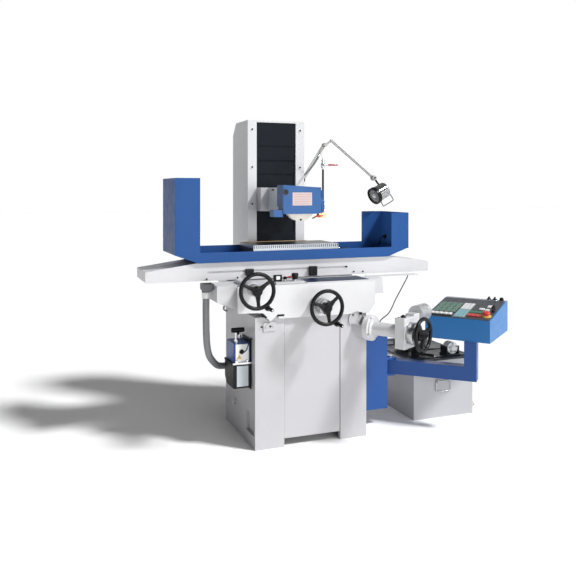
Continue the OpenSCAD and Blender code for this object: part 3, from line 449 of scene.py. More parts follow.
class Shape:
    """Closed solids collected in one mesh. Local places are in millimetres."""

    def __init__(self, place=None):
        self.bm = bmesh.new()
        self.place = place or Matrix()

    def loft(self, rings, closed=False):
        rows = [[self.bm.verts.new(MM * (self.place @ Vector(p))) for p in ring]
                for ring in rings]
        count = len(rows[0])
        for a, b in zip(rows, rows[1:] + rows[:1] if closed else rows[1:]):
            for k in range(count):
                m = (k + 1) % count
                self.bm.faces.new((a[k], a[m], b[m], b[k]))
        if not closed:
            self.bm.faces.new(rows[0][::-1])
            self.bm.faces.new(rows[-1])
        return self

    def prism(self, outline, z0, z1):
        return self.loft([[(*p, z) for p in outline] for z in (z0, z1)])

    def block(self, x0, x1, y0, y1, z0, z1):
        return self.prism([(x0, y0), (x1, y0), (x1, y1), (x0, y1)], z0, z1)

    def blocks(self, *boxes):
        for box in boxes:
            self.block(*box)
        return self

    def lathe(self, base, axis, profile, n=40):
        """profile lists how far along the axis, and the radius there."""
        base, axis = Vector(base), Vector(axis).normalized()
        u, v = along(axis)
        return self.loft([circle(base + axis * t, u, v, r, n) for t, r in profile])

    def rod(self, p, q, r, n=28, chamfer=0.0):
        p, q = Vector(p), Vector(q)
        length = (q - p).length
        c = min(chamfer, r * 0.6, length * 0.4)
        profile = [(0, r - c), (c, r), (length - c, r), (length, r - c)] if c else [
            (0, r), (length, r)]
        return self.lathe(p, q - p, profile, n)

    def tube(self, path, r, n=16):
        points = [Vector(p) for p in path]
        u, _ = along((points[1] - points[0]).normalized())
        rings = []
        for p, a, b in zip(points, points[:1] + points, points[1:] + points[-1:]):
            t = (b - a).normalized()
            u = (u - t * u.dot(t)).normalized()
            rings.append(circle(p, u, t.cross(u), r, n))
        return self.loft(rings)

    def pipe(self, base, axis, outer, inner, length, n=40):
        """A straight tube with a hole right through."""
        base, axis = Vector(base), Vector(axis).normalized()
        u, v = along(axis)
        corners = ((0, inner), (0, outer), (length, outer), (length, inner))
        return self.loft([circle(base + axis * t, u, v, r, n) for t, r in corners], closed=True)

    def screw(self, centre, axis, r, height):
        """Socket head screw with its hexagon hole."""
        centre, axis = Vector(centre), Vector(axis).normalized()
        u, v = along(axis)
        rings = [circle(centre + axis * height * t, u, v, r * wide, 24)
                 for t, wide in ((0, 1), (0.85, 1), (1, 0.9))]
        for t in (1, 0.35):
            corners = circle(centre + axis * height * t, u, v, r * 0.5, 6)
            rings.append([a.lerp(b, j / 4) for a, b in zip(corners, corners[1:] + corners[:1])
                          for j in range(4)])
        return self.loft(rings)

    def fins(self, centre, axis, count, foot, tip, start, *ends):
        """Ribs round an axis. foot and tip are (radius, half width); ends come in turn."""
        centre = Vector(centre)
        first, second = [side for side in (X_AXIS, Y_AXIS, Z_AXIS) if not side.dot(axis)]
        corners = ((foot[0], -foot[1]), (tip[0], -tip[1]), tip, foot)
        for k in range(count):
            a = 2 * math.pi * k / count
            u = first * math.cos(a) + second * math.sin(a)
            v = second * math.cos(a) - first * math.sin(a)
            self.loft([[centre + axis * t + u * r + v * w for r, w in corners]
                       for t in (start, ends[k % len(ends)])])
        return self

    def make(self, name, paint, slot, bevel=0.0, segments=2, instead=False):
        """instead says that the piece stands for the whole CAD node of its slot."""
        bmesh.ops.recalc_face_normals(self.bm, faces=self.bm.faces)
        mesh = bpy.data.meshes.new(name)
        self.bm.to_mesh(mesh)
        self.bm.free()
        add_piece(mesh, name, paint, slot, bevel, segments, instead)


def add_piece(mesh, name, paint, slot, bevel, segments, instead):
    piece = bpy.data.objects.new(name, mesh)
    scene.collection.objects.link(piece)
    mesh.materials.clear()
    mesh.materials.append(paint)
    mesh.polygons.foreach_set("use_smooth", [True] * len(mesh.polygons))
    if bevel:
        edge = piece.modifiers.new("edge", "BEVEL")
        edge.width = bevel * MM
        edge.segments = segments
        edge.limit_method = "ANGLE"
        edge.angle_limit = math.radians(40)
        edge.use_clamp_overlap = True
        shade = piece.modifiers.new("shade", "WEIGHTED_NORMAL")
        shade.keep_sharp = False
    else:
        mesh.set_sharp_from_angle(angle=math.radians(35))
    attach(piece, NODE_BODY[slot])
    if instead:
        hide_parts(slot)


def shell(node, paint, bevel, segments=2):
    """A CAD node's own shape with its edges rounded."""
    bm = bmesh.new()
    bm.from_mesh(frame["nodes"][node].data)
    bmesh.ops.remove_doubles(bm, verts=bm.verts, dist=0.01 * MM)
    bmesh.ops.dissolve_limit(bm, angle_limit=math.radians(0.6), verts=bm.verts, edges=bm.edges)
    mesh = bpy.data.meshes.new(node + "_shell")
    bm.to_mesh(mesh)
    bm.free()
    for attribute in [a.name for a in mesh.attributes if a.name.startswith("custom_normal")]:
        mesh.attributes.remove(mesh.attributes[attribute])
    add_piece(mesh, node + "_shell", paint, node, bevel, segments, True)


def repaint(node, paint):
    """A CAD node that shows as it is, with a better material."""
    mesh = frame["nodes"][node].data
    mesh.materials.clear()
    mesh.materials.append(paint)


def front_screws(name, paint, node, y, spots, r, height):
    """Screw heads on a face toward the front, at (x, z) spots."""
    heads = Shape()
    for x, z in spots:
        heads.screw((x, y, z), FRONT, r, height)
    heads.make(name, paint, node)


# ---------- cords ----------

HOSE_R, LEAD_R, CHUCK_LEAD_R = 18, 3, 4
HOSE_ROUTE = [(-540, -132, 806), (-540, -132, 760), (-540, -132, 690), (-538, -128, 610),
              (-530, -112, 530), (-508, -72, 462), (-472, -16, 414), (-432, 48, 376),
              (-392, 99, 356), (-353, 100, 356)]
CHUCK_LEAD_ROUTE = [(262, -30, 1004), (282, -31, 1004), (320, -30, 1000), (380, -10, 986),
                    (450, 24, 974), (520, 66, 974), (580, 112, 990), (626, 152, 1010),
                    (652, 184, 1034), (670, 198, 1046), (687.5, 200, 1048)]
FEED_LEAD_ROUTE = [(678, -100, 840.5), (678, -100, 832), (663, -112, 818), (635, -130, 793),
                   (600, -155, 763), (568, -180, 739), (530, -212, 712), (492, -248, 684),
                   (444, -292, 659), (384, -333, 642), (358, -358, 634)]
LUBRICATOR_LEAD_ROUTE = [(-372, -222, 500), (-372, -232, 500), (-366, -242, 504),
                         (-354, -246, 518), (-344, -241, 542), (-336, -233, 560),
                         (-328, -230, 566), (-318, -230, 566)]


def cord_piece(name, route, r, paint, n=14):
    """The cord's mesh, with its length and its turn around as UV, for the braid."""
    path = smooth_path(route, 5)
    piece = Shape().tube(path, r, n)
    uv = piece.bm.loops.layers.uv.new("UVMap")
    run = [0.0]
    for a, b in zip(path, path[1:]):
        run.append(run[-1] + (b - a).length)
    piece.bm.verts.index_update()
    for face in piece.bm.faces:
        around = [loop.vert.index % n for loop in face.loops]
        wraps = max(around) - min(around) > n / 2
        for loop, k in zip(face.loops, around):
            step = k + n if wraps and k == 0 else k
            loop[uv].uv = (step / n, run[loop.vert.index // n] / (2 * math.pi * r))
    bmesh.ops.recalc_face_normals(piece.bm, faces=piece.bm.faces)
    mesh = bpy.data.meshes.new(name)
    piece.bm.to_mesh(mesh)
    piece.bm.free()
    made = bpy.data.objects.new(name, mesh)
    scene.collection.objects.link(made)
    mesh.materials.append(paint)
    mesh.polygons.foreach_set("use_smooth", [True] * len(mesh.polygons))
    mesh.set_sharp_from_angle(angle=math.radians(50))
    return made, path, run[-1]


def make_cords():
    hose, path, length = cord_piece("drain_hose_braided", HOSE_ROUTE, HOSE_R, BRAID,
                                    20)
    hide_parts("drain_hose")
    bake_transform(hose, "saddle", "base", start=(-0.54, -0.13, 0.80), end=(-0.40, 0.06, 0.37))

    lead, path, length = cord_piece("chuck_lead_cable", CHUCK_LEAD_ROUTE, CHUCK_LEAD_R, RUBBER)
    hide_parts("chuck_lead")
    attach(lead, "table")

    lead, path, length = cord_piece("feed_lead_cable", FEED_LEAD_ROUTE, LEAD_R, RUBBER,
                                    10)
    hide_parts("side_leads")
    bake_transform(lead, "saddle", "base", start=(0.66, -0.11, 0.82), end=(0.40, -0.32, 0.645))

    lead, path, length = cord_piece("lubricator_lead_cable", LUBRICATOR_LEAD_ROUTE, LEAD_R,
                                    RUBBER, 10)
    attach(lead, "base")


# ---------- base and column ----------

def make_base():
    shell("base_casting", BASE_WHITE, 3.0)
    shell("base_covers", BASE_WHITE, 1.2)
    shell("column_casting", COLUMN_WHITE, 2.0)
    shell("fixed_way_covers", COVER_BLACK, 0.8)
    repaint("hydraulic_unit", GREY_ENAMEL)
    repaint("elevating_screw", STEEL_ROUND)
    front = mm_box("base_covers")[0].y
    # plug in the round end cover, and a black knob beside it
    plugs = Shape().rod((233, front + 1, 664), (233, front - 3, 664), 5)
    plugs.rod((277, -277, 672), (277, -294, 672), 8, chamfer=2)
    plugs.make("way_cover_plugs", BLACK_PLASTIC, "base_covers", 0.6)
    # dark joints at both sides of the front panel, and two screws on the plate under the V way
    panel = front + 24
    joints = Shape()
    for x in (-158, 163):
        joints.block(x - 1.6, x + 1.6, panel - 0.5, panel + 0.5, 45, 670)
    joints.make("front_panel_joints", BLACK_MATT, "base_covers")
    front_screws("way_plate_screws", BLACK_OXIDE, "base_covers", front + 2.7,
                 ((-286, 634), (-238, 634)), 5, 2)
    # screws of the strips that hold the folded covers
    front_screws("column_strip_screws", BLACK_OXIDE, "column_casting",
                 mm_box("column_casting")[0].y + 0.3,
                 [(x, z) for x in (-153, 153) for z in (1255, 1475, 1700)], 5, 3)


def make_way_covers():
    """Telescopic covers: folded sheets with a wiper at the lower end of the moving ones."""
    for node in ("upper_cover_high", "upper_cover_low", "head_covers"):
        shell(node, COVER_BLACK, 0.8)
    for node in ("upper_cover_high", "upper_cover_low"):
        low, high = mm_box(node)
        Shape().block(low.x + 2, high.x - 2, low.y - 2.2, low.y + 0.5, low.z, low.z + 5).make(
            node + "_wiper", COVER_BLACK, node, 0.5)


# ---------- left side ----------

LUBRICATOR_BACK = -318


def lubricator_part(name, paint, shape, bevel=0.0, segments=2, instead=False):
    shape.make("lubricator_" + name, paint, "lubricator", bevel, segments, instead)


def make_lubricator():
    back = LUBRICATOR_BACK
    side_on = Matrix(((0, 0, 1, 0), (1, 0, 0, 0), (0, 1, 0, 0), (0, 0, 0, 1)))
    upright = Matrix(((1, 0, 0, -385), (0, 0, 1, -216.2), (0, 1, 0, 464), (0, 0, 0, 1)))
    lubricator_part("back_plate", BLACK_MATT,
                    Shape().block(back - 5, back, -215, -62, 300, 560), 1.2, instead=True)
    lubricator_part("reservoir", BLACK_PLASTIC, Shape(side_on).prism(
        [(-222, 312), (-95, 312), (-55, 345), (-55, 440), (-222, 440)], -418, back - 5), 4, 3)
    lubricator_part("reservoir_rim", BLACK_MATT,
                    Shape().block(-420, back - 5, -224, -53, 430, 441), 2)
    lubricator_part("pump", DEEP_BLUE,
                    Shape().block(-412, back - 5, -208, -66, 441, 542), 4, 3)
    lubricator_part("front_cover", WHITE_PLASTIC,
                    Shape().block(-404, back - 14, -215, -207, 446, 538), 2.5, 3)
    lubricator_part("plain_sign", STOP_YELLOW,
                    Shape(upright).prism([(-13, 0), (13, 0), (0, 22)], -0.4, 1.4))
    lubricator_part("plain_label", SHEET_LABEL,
                    Shape().block(-400, -338, -223.2, -221.5, 322, 428), 0.4)
    plug = Shape().rod((-372, -207, 500), (-372, -223, 500), 12, chamfer=2)
    lubricator_part("plug", BLACK_PLASTIC, plug.rod((-372, -222, 500), (-372, -227, 500), 6), 0.6)
    pipes = Shape()
    for x, y in ((-386, -160), (-350, -110)):
        pipes.rod((x, y, 540), (x, y, 590), 6).rod((x, y, 542), (x, y, 552), 11, n=6)
    lubricator_part("pipes", CHROME, pipes, 0.5)
    cap = Shape().rod((-404, -135, 598), (-334, -135, 598), 13, chamfer=2)
    lubricator_part("cap", BLACK_MATT, cap.rod((-369, -135, 574), (-369, -135, 598), 10), 1)
    lubricator_part("clamp_band", CHROME, Shape().block(-421, -308, -226, -216, 436, 446), 1)
    gauges = Shape()
    for x, r in ((-400, 9), (-344, 7)):
        gauges.rod((x, -216, 452), (x, -222, 452), r, chamfer=1.5)
    lubricator_part("fittings", CHROME, gauges)


def make_hose_ends():
    Shape().lathe((-351, 100, 356), X_AXIS,
                  [(0, 21), (3, 22.5), (23, 22.5), (25, 30), (33, 30)]).make(
        "hose_elbow_body", DARK_ENAMEL, "hose_elbow", 1, instead=True)
    Shape().pipe((-346, 100, 356), X_AXIS, 24, 21, 9).block(
        -345, -338, 92, 108, 378, 386).make("hose_clamp", CHROME, "hose_elbow", 0.6)
    shell("drain_funnel", FUNNEL_GREY, 1.2)
    Shape().pipe((-540, -132, 775), Z_AXIS, 22, 18.4, 31).make(
        "hose_collar", WHITE_PLASTIC, "drain_funnel", 1)


# ---------- handwheels ----------

RIM = 20
HANDLE_L = 62
SPOKES = ((16, 13, 17, -12), (34, 10.5, 12, -9), (52, 8.5, 7, -7))


def turn_frame(centre, outward):
    """Local axes of a handwheel: z outward, y up."""
    z = Vector(outward).normalized()
    x = Z_AXIS.cross(z).normalized()
    return Matrix((
        (x.x, 0, z.x, centre.x), (x.y, 0, z.y, centre.y), (x.z, 1, z.z, centre.z),
        (0, 0, 0, 1)))


def joint_frame(joint):
    return turn_frame(joint_place(joint), JOINTS[joint]["axis"])


def polar(radius, degrees, z=0.0):
    a = math.radians(degrees)
    return Vector((radius * math.cos(a), radius * math.sin(a), z))


def grooved(degrees, grips):
    """The rim's thickness with finger grooves; grips lists (centre, half) arcs."""
    for centre, half in grips:
        away = abs((degrees - centre + 180) % 360 - 180)
        if away < half:
            return 1 + min(1.0, (half - away) / 4) * 0.07 * math.cos(math.radians(away) * 36)
    return 1.0


def make_handwheel(node, joint, size, phase, lug, drums, shaft, grips):
    """drums lists (far, near, radius, paint) behind the wheel, shaft is (length, radius)."""
    place = joint_frame(joint)
    middle = (size - RIM) / 2
    rows = []
    for degrees in range(0, 360, 2):
        r = RIM / 2 * grooved(degrees, grips)
        turns = [2 * math.pi * k / 18 for k in range(18)]
        rows.append([polar(middle + r * math.cos(b), degrees, r * math.sin(b)) for b in turns])
    wheel = Shape(place).loft(rows, closed=True)
    for k in range(3):
        out, side = polar(1, phase + 120 * k), polar(1, phase + 120 * k + 90)
        wheel.loft([[out * r + side * s + Z_AXIS * z for s, z in (
            (w, back + 2), (w - 2, back), (2 - w, back), (-w, back + 2),
            (-w, front - 3), (3 - w, front), (w - 3, front), (w, front - 3))]
            for r, w, front, back in (*SPOKES, (middle - 4, 8, 6, -6))])
    wheel.lathe((0, 0, -16), Z_AXIS, [(0, 25), (2, 26), (22, 26), (31, 23), (34, 19)])
    wheel.lathe(polar(size / 2 + 5.5, lug, -RIM / 2), Z_AXIS,
                [(0, 12.5), (1.5, 14), (RIM - 1.5, 14), (RIM, 12.5)])
    wheel.make(node + "_rim", BLACK_PLASTIC, node, 0.8, instead=True)

    Shape(place).lathe((0, 0, 17), Z_AXIS, [(0, 17), (3, 17), (5, 15)]).make(
        node + "_hub_ring", BLACK_OXIDE, node)
    Shape(place).screw((0, 0, 20), Z_AXIS, 8.5, 6).make(node + "_hub_screw", BLACK_OXIDE, node)
    length, radius = shaft
    Shape(place).rod((0, 0, -length), (0, 0, -12), radius, chamfer=1).make(
        node + "_shaft", STEEL_ROUND, node)
    for number, (far, near, r, paint) in enumerate(drums):
        long = near - far
        Shape(place).lathe((0, 0, far), Z_AXIS,
                           [(0, r - 1), (1.5, r), (long - 2, r), (long, r - 2)], 72).make(
            f"{node}_drum_{number}", paint, node)
    # dial of the nearest drum, with a longer line at each fifth
    _, near, r, _ = drums[-1]
    Shape(place).fins((0, 0, near - 2.2), Z_AXIS, 50, (r - 0.5, 0.4), (r + 0.15, 0.4), 0,
                      -11, -7, -7, -7, -7).make(node + "_dial_marks", BLACK_MATT, node)


def make_handle(node, joint):
    place = joint_frame(joint)
    start = RIM / 2 + 0.6
    profile = ((0.3, 8.8), (0.6, 10), (0.85, 9.4), (0.96, 7), (1, 4))
    Shape(place).lathe((0, 0, start), Z_AXIS,
                       [(0, 6), (1.5, 8), *((HANDLE_L * t, r) for t, r in profile)], 32).make(
        node + "_grip", BLACK_PLASTIC, node, instead=True)
    pin = Shape(place).rod((0, 0, -RIM / 2 - 2), (0, 0, start + 2), 5, chamfer=0.6)
    pin.lathe((0, 0, start + HANDLE_L - 0.5), Z_AXIS, [(0, 3.6), (0.8, 3.6), (1.4, 2.4)], 20)
    pin.make(node + "_pin", CHROME, node)


def make_wheels():
    front_grips = ((-40, 11), (-135, 11), (80, 11))
    make_handwheel("table_handwheel", "table_wheel_turn", 190, 35, -58,
                   ((-132, -72, 34, WHITE), (-72, -16, 30, GREY_ENAMEL)), (300, 8), front_grips)
    make_handwheel("cross_handwheel", "cross_wheel_turn", 190, 40, -58,
                   ((-132, -72, 42, GREY_ENAMEL), (-72, -16, 38, STEEL_ROUND)), (540, 9.95),
                   front_grips)
    make_handwheel("feed_handwheel", "feed_wheel_turn", 183, 20, 260,
                   ((-71, -33, 58, STEEL_ROUND), (-33, -16, 34, BLACK_MATT)), (160, 9.95),
                   ((-30, 11), (90, 11), (-145, 11)))
    for wheel in ("table", "cross", "feed"):
        make_handle(wheel + "_wheel_handle", wheel + "_grip_spin")


# ---------- down-feed unit ----------

FEED_START = Vector((300, -275, 595))


def make_feed_unit():
    place = turn_frame(FEED_START, JOINTS["feed_wheel_turn"]["axis"])
    Shape(place).lathe((0, 0, 29), Z_AXIS, [
        (0, 68), (1.5, 69), (15, 69), (16, 67.5), (18, 67.5), (19, 69), (32.5, 69), (34, 67),
        (34.5, 56), (43, 56), (44, 54), (45, 38), (47, 37), (195, 34)], 72).make(
        "feed_tube", WHITE, "feed_housing", 0.8, instead=True)
    Shape(place).block(-55, 55, -80, 81, 224, 283).make("feed_box", WHITE, "feed_housing", 5, 3)
    Shape(place).lathe((0, 0, 282), Z_AXIS, [(0, 64), (4.5, 64), (6, 62.5)], 72).make(
        "feed_box_flange", WHITE, "feed_housing")
    screws = Shape(place)
    for k in range(4):
        screws.screw(polar(59, 45 + 90 * k, 288), Z_AXIS, 3, 2)
        screws.screw(polar(62.5, 25 + 90 * k, 63), Z_AXIS, 4, 3)
    for x in (-42, 42):
        screws.screw((x, 80.5, 240), Y_AXIS, 4.5, 2.5)
    screws.make("feed_box_screws", BLACK_OXIDE, "feed_housing")
    Shape(place).rod((-20, 80, 256), (-20, 90, 256), 14, chamfer=3).rod(
        (-20, 89, 256), (-20, 94, 256), 8, chamfer=2).make(
        "feed_box_oil_plug", BLACK_PLASTIC, "feed_housing", 1)

    Shape(place).block(54, 118, 20, 90, 228, 279).make(
        "feed_motor_adapter", WHITE, "feed_motor", 3, instead=True)
    centre = Vector((117, 80, 253.5))
    motor = Shape(place).lathe(centre, X_AXIS, [
        (0, 40), (2, 44), (14, 44), (15, 42), (90, 42), (91, 44), (104, 44), (108, 42),
        (117, 35), (119, 30)], 56)
    motor.fins(centre, X_AXIS, 24, (41, 1), (43.9, 0.6), 14.5, 90.5)
    motor.make("feed_motor_body", ALLOY, "feed_motor", 0.5)


# ---------- saddle ----------

def make_saddle():
    shell("saddle_casting", WHITE_CAST, 2.5)
    shell("apron_panels", WHITE, 1.2)
    for node in ("table_cylinder", "cylinder_rod"):
        repaint(node, STEEL)
    Shape().block(-23, 345, -268, -87, 847.2, 848.4).make("oil_pan_floor", NAVY, "apron_panels")
    front = mm_box("apron_panels")[0].y
    wipers = Shape()
    for p, q in (((-286, 703), (-262, 681)), ((-205, 690), (-165, 690))):
        p, q = Vector((p[0], 0, p[1])), Vector((q[0], 0, q[1]))
        d = (q - p).normalized()
        n = Vector((-d.z, 0, d.x)) * 5
        wipers.loft([[corner + Y_AXIS * y for corner in (p + n, q + n, q - n, p - n)]
                     for y in (front - 1.5, front + 14)])
    wipers.make("way_wipers", RUBBER, "apron_panels", 0.8)

    base = mm_box("valve_block")[0].z
    Shape().block(-205, -40, -277, -200, base, base + 12).make(
        "valve_plate", GREY_ENAMEL, "valve_block", 1.5, instead=True)
    Shape().block(-203, -158, -244, -226, base + 12, base + 46).make(
        "valve_bracket", BLACK_MATT, "valve_block", 2)
    Shape().block(-192, -171, -245.5, -243, base + 22, base + 40).make(
        "valve_window", WHITE_PLASTIC, "valve_block", 0.8)
    stops = Shape().rod((-84, -236, base + 11), (-84, -236, base + 20), 16, chamfer=1)
    stops.rod((-140, -236, base + 11), (-140, -236, base + 22), 10, chamfer=1)
    for x in (-195, -110, -50):
        stops.screw((x, -258, base + 12), Z_AXIS, 5, 4)
    stops.make("valve_bosses", STEEL_ROUND, "valve_block", 0.5)

    Shape().lathe((-84, -236, base + 20.5), Z_AXIS, [
        (0, 13), (2, 15), (10, 15), (13.5, 17), (16, 19), (29, 17.5), (31.5, 15)], 24).make(
        "speed_knob_body", BLACK_PLASTIC, "speed_lever", 0.6, instead=True)
    Shape().block(-85, -83, -252, -240, base + 51.4, base + 52).make(
        "speed_knob_mark", WHITE_PLASTIC, "speed_lever")
    Shape().rod((-140, -236, base + 22.5), (-140, -236, base + 36), 9, chamfer=1.5).make(
        "reverse_lever_hub", BLACK_OXIDE, "reverse_lever", instead=True)
    Shape().lathe((-140, -236, base + 31), (32, -16, 5),
                  [(6, 3), (14, 3.2), (16, 4), (33, 4.2), (36, 3)], 20).make(
        "reverse_lever_grip", DARK_RED, "reverse_lever")


# ---------- table ----------

def make_table():
    shell("table_casting", WHITE_CAST, 2.0)
    shell("splash_guard", TRAY_BLUE, 0.9)
    shell("dog_left", BLACK_OXIDE, 1.5)
    shell("dog_right", BLACK_OXIDE, 1.5)
    shell("chuck_body", CHUCK_SIDE, 1.2)
    front = mm_box("table_casting")[0].y
    front_screws("table_screws", BLACK_OXIDE, "table_casting", front + 0.3,
                 ((-518, 864), (-347, 865), (348, 869), (406, 868)), 5, 2)
    front_screws("dog_left_screws", BLACK_OXIDE, "dog_left", -80.5, ((-282, 892),), 6, 4)
    front_screws("dog_right_screws", BLACK_OXIDE, "dog_right", -80.5,
                 ((91, 878), (91, 897)), 6, 4)
    Shape().rod((302, front + 6, 899), (302, front - 4, 899), 5, chamfer=1).make(
        "groove_end_stop", BLACK_OXIDE, "table_casting")

    low, high = mm_box("chuck_plate")
    Shape().block(low.x, high.x, low.y, high.y, low.z, high.z - 0.6).make(
        "chuck_plate_base", CHUCK_SIDE, "chuck_plate", 0.3, instead=True)
    bars, gaps = Shape(), Shape()
    count = 42
    pitch = (high.x - low.x) / count
    for k in range(count):
        x = low.x + pitch * k
        bars.block(x + 0.2, x + pitch - 0.8, low.y + 0.5, high.y, high.z - 1.0, high.z)
        gaps.block(x + 3.5, x + pitch - 3.5, low.y - 0.5, low.y + 0.5, low.z - 4, high.z - 2.5)
    bars.make("chuck_plate_poles", CHUCK_FACE, "chuck_plate", 0.15, 1)
    gaps.make("chuck_plate_gaps", CHUCK_GAP, "chuck_plate")
    Shape().block(low.x + 4, high.x - 90, high.y - 2, high.y + 3, high.z - 10, high.z + 2.5).make(
        "chuck_back_strip", BRONZE, "chuck_plate", 0.6)
    low, high = mm_box("chuck_body")
    Shape().block(low.x - 1, low.x + 0.4, low.y + 3, high.y - 3, low.z + 30, high.z - 1).make(
        "chuck_end_resin_plate", CHUCK_END, "chuck_body", 0.4)
    Shape().rod((254, -30, 1004), (263, -30, 1004), 9, n=6).rod(
        (262, -30, 1004), (268, -30, 1004), 7).make("chuck_lead_gland", CHROME, "chuck_body", 0.6)
    Shape().lathe((698, 200, 1048), -X_AXIS,
                  [(0, 13), (2, 13), (4, 11), (12, 10), (18, 6.5), (24, 5)]).make(
        "chuck_lead_plug", BLACK_PLASTIC, "splash_guard", 0.4)


# ---------- head ----------

VENT_X, VENT_Z = -98, 1326


def make_head():
    shell("head_slide", WHITE_CAST, 2.0)
    shell("spindle_housing", GREY_HOUSING, 4.0, 3)
    shell("wheel_guard", BLUE, 1.6)
    left = mm_box("spindle_housing")[0].x
    Shape().block(left - 0.6, left + 1, 108, 152, 1334, 1343).make(
        "housing_slot", BLACK_MATT, "spindle_housing", 0.5)

    shell("guard_cover", BLUE, 1.6)
    front = mm_box("guard_cover")[0].y
    Shape().block(-59, 56, front - 1.2, front + 0.3, 1253, 1324).make(
        "guard_plain_label", LABEL, "guard_cover", 0.5)
    Shape().blocks(*((-50, 47, front - 1.5, front - 1, z, z + 2.4)
                     for z in range(1261, 1314, 13))).make(
        "guard_label_border", LABEL_LINE, "guard_cover")
    vent = Shape().pipe((VENT_X, front + 0.5, VENT_Z), FRONT, 16, 13, 3.5, 36)
    for rise in range(-10, 11, 5):
        half = math.sqrt(13.5 ** 2 - rise ** 2)
        z = VENT_Z + rise
        vent.block(VENT_X - half, VENT_X + half, front - 2, front + 0.2, z - 1, z + 1)
    vent.make("guard_vent", DARK_ENAMEL, "guard_cover", 0.3)
    Shape().rod((VENT_X, front + 0.4, VENT_Z), (VENT_X, front - 0.6, VENT_Z), 13.2).make(
        "guard_vent_screen", BLACK_MATT, "guard_cover")
    front_screws("guard_cover_screws", BLUE, "guard_cover", front + 0.3,
                 ((-104, 1216), (104, 1216), (104, 1345)), 4, 2.2)
    Shape().screw((-111.8, -62, 1238), -X_AXIS, 7, 5).make(
        "guard_side_screw", CHROME, "wheel_guard")
    Shape().rod((111, -100, 1272), (126, -100, 1272), 5).lathe(
        (126, -100, 1272), X_AXIS, [(0, 10), (2, 13), (12, 13), (16, 11), (17, 7)], 10).make(
        "guard_clamp_knob", DEEP_BLUE, "wheel_guard", 0.6)


def make_grinding_wheel():
    low, high = mm_box("grinding_wheel")
    x, y, z = (low.x + high.x) / 2, low.y, (low.z + high.z) / 2
    r, t = (high.z - low.z) / 2, high.y - low.y
    Shape().lathe((x, y, z), Y_AXIS, [(0, r - 2.5), (1.5, r), (t - 1.5, r), (t, r - 2.5)],
                  120).make("grinding_wheel_body", WHEEL_GRIT, "grinding_wheel", instead=True)
    repaint("spindle", STEEL_ROUND)
    Shape().rod((x, y - 4, z - 82), (x, y + 0.5, z - 82), 6, n=6).make(
        "wheel_balance_stud", BLACK_OXIDE, "grinding_wheel")
    Shape().rod((x, y - 0.8, z), (x, y + 0.5, z), 46, n=64).make(
        "wheel_blotter", LABEL, "grinding_wheel")


def make_spindle_motor():
    low, high = mm_box("spindle_motor")
    centre = (0, low.y, (low.z + high.z) / 2)
    motor = Shape().lathe(centre, Y_AXIS, [
        (0, 72), (4, 75), (16, 75), (18, 68), (150, 68), (152, 75), (164, 75), (167, 73),
        (168, 63), (186, 60), (189, 50)], 64)
    motor.fins(centre, Y_AXIS, 30, (67, 1.4), (74.6, 0.8), 17, 151)
    motor.make("spindle_motor_body", ALLOY, "spindle_motor", 0.6, instead=True)


def make_coolant():
    x, y = 155, -60
    Shape().tube(smooth_path([(190, 296, 1432), (185, 250, 1444), (166, 120, 1478),
                              (148, 20, 1508), (134, -40, 1524), (128, -58, 1532)]),
                 5.5, 14).make("coolant_supply_hose", DIM_PLASTIC, "coolant_line", instead=True)
    tap = Shape().tube(smooth_path([(128, -58, 1530), (130, y, 1537), (138, y, 1542),
                                    (148, y, 1539), (154, y, 1529), (x, y, 1515),
                                    (x, y, 1506)]), 5, 14)
    tap.lathe((x, y, 1510), -Z_AXIS, [(0, 6), (3, 9), (10, 9), (12, 7), (20, 7), (22, 11),
                                      (30, 12), (40, 12), (46, 9), (52, 7), (56, 6.5)], 28)
    tap.lathe((x, y, 1468), Z_AXIS, [(0, 9), (1, 11), (22, 11), (23, 9)], 6)
    tap.rod((x, y, 1479), (x, y - 13, 1479), 8, n=20, chamfer=1)
    tap.make("coolant_tap", CHROME, "coolant_line")
    Shape().tube([(x, y, z) for z in range(1206, 1460, 12)], 5.5).make(
        "coolant_drop_hose", RUBBER, "coolant_line")
    Shape().block(111, 149, -82, -62, 1234, 1250).rod(
        (x, y, 1230), (x, y, 1254), 9, chamfer=1).make(
        "coolant_hose_clip", DEEP_BLUE, "coolant_line", 1)
    Shape().block(120, 163, -84, -52, 1184, 1206).rod((x, y, 1204), (x, y, 1213), 9, n=6).make(
        "coolant_nozzle_block", BRASS, "coolant_line", 1.5)
    Shape().tube(smooth_path([(124, -68, 1192), (108, -74, 1189), (92, -84, 1184),
                              (78, -91, 1180)], 5), 4, 14).make(
        "coolant_nozzle", BRASS, "coolant_line")

    Shape().rod((x, y - 1, 1479), (x, y - 24, 1479), 4).lathe(
        (x - 6, y - 20, 1479), X_AXIS,
        [(0, 5), (6, 6), (16, 5), (30, 3.6), (32, 3.4)], 20).make(
        "coolant_lever_stem", CHROME, "coolant_lever", instead=True)
    Shape().lathe((x + 24, y - 20, 1479), X_AXIS,
                  [(0, 3.8), (3, 5), (28, 4.6), (54, 3.8), (60, 2.4)], 20).make(
        "coolant_lever_grip", DARK_RED, "coolant_lever")
    Shape().rod((135, y - 11, 1195), (135, y - 40, 1195), 4, chamfer=0.8).make(
        "nozzle_lever_pin", BRASS, "nozzle_lever", instead=True)
    Shape().lathe((137, y - 36, 1195), (-49, 0, -5),
                  [(0, 4), (3, 6), (16, 7.5), (30, 5.5), (49, 2.4)], 24).make(
        "nozzle_lever_grip", ORANGE_RED, "nozzle_lever")


# ---------- pendant ----------

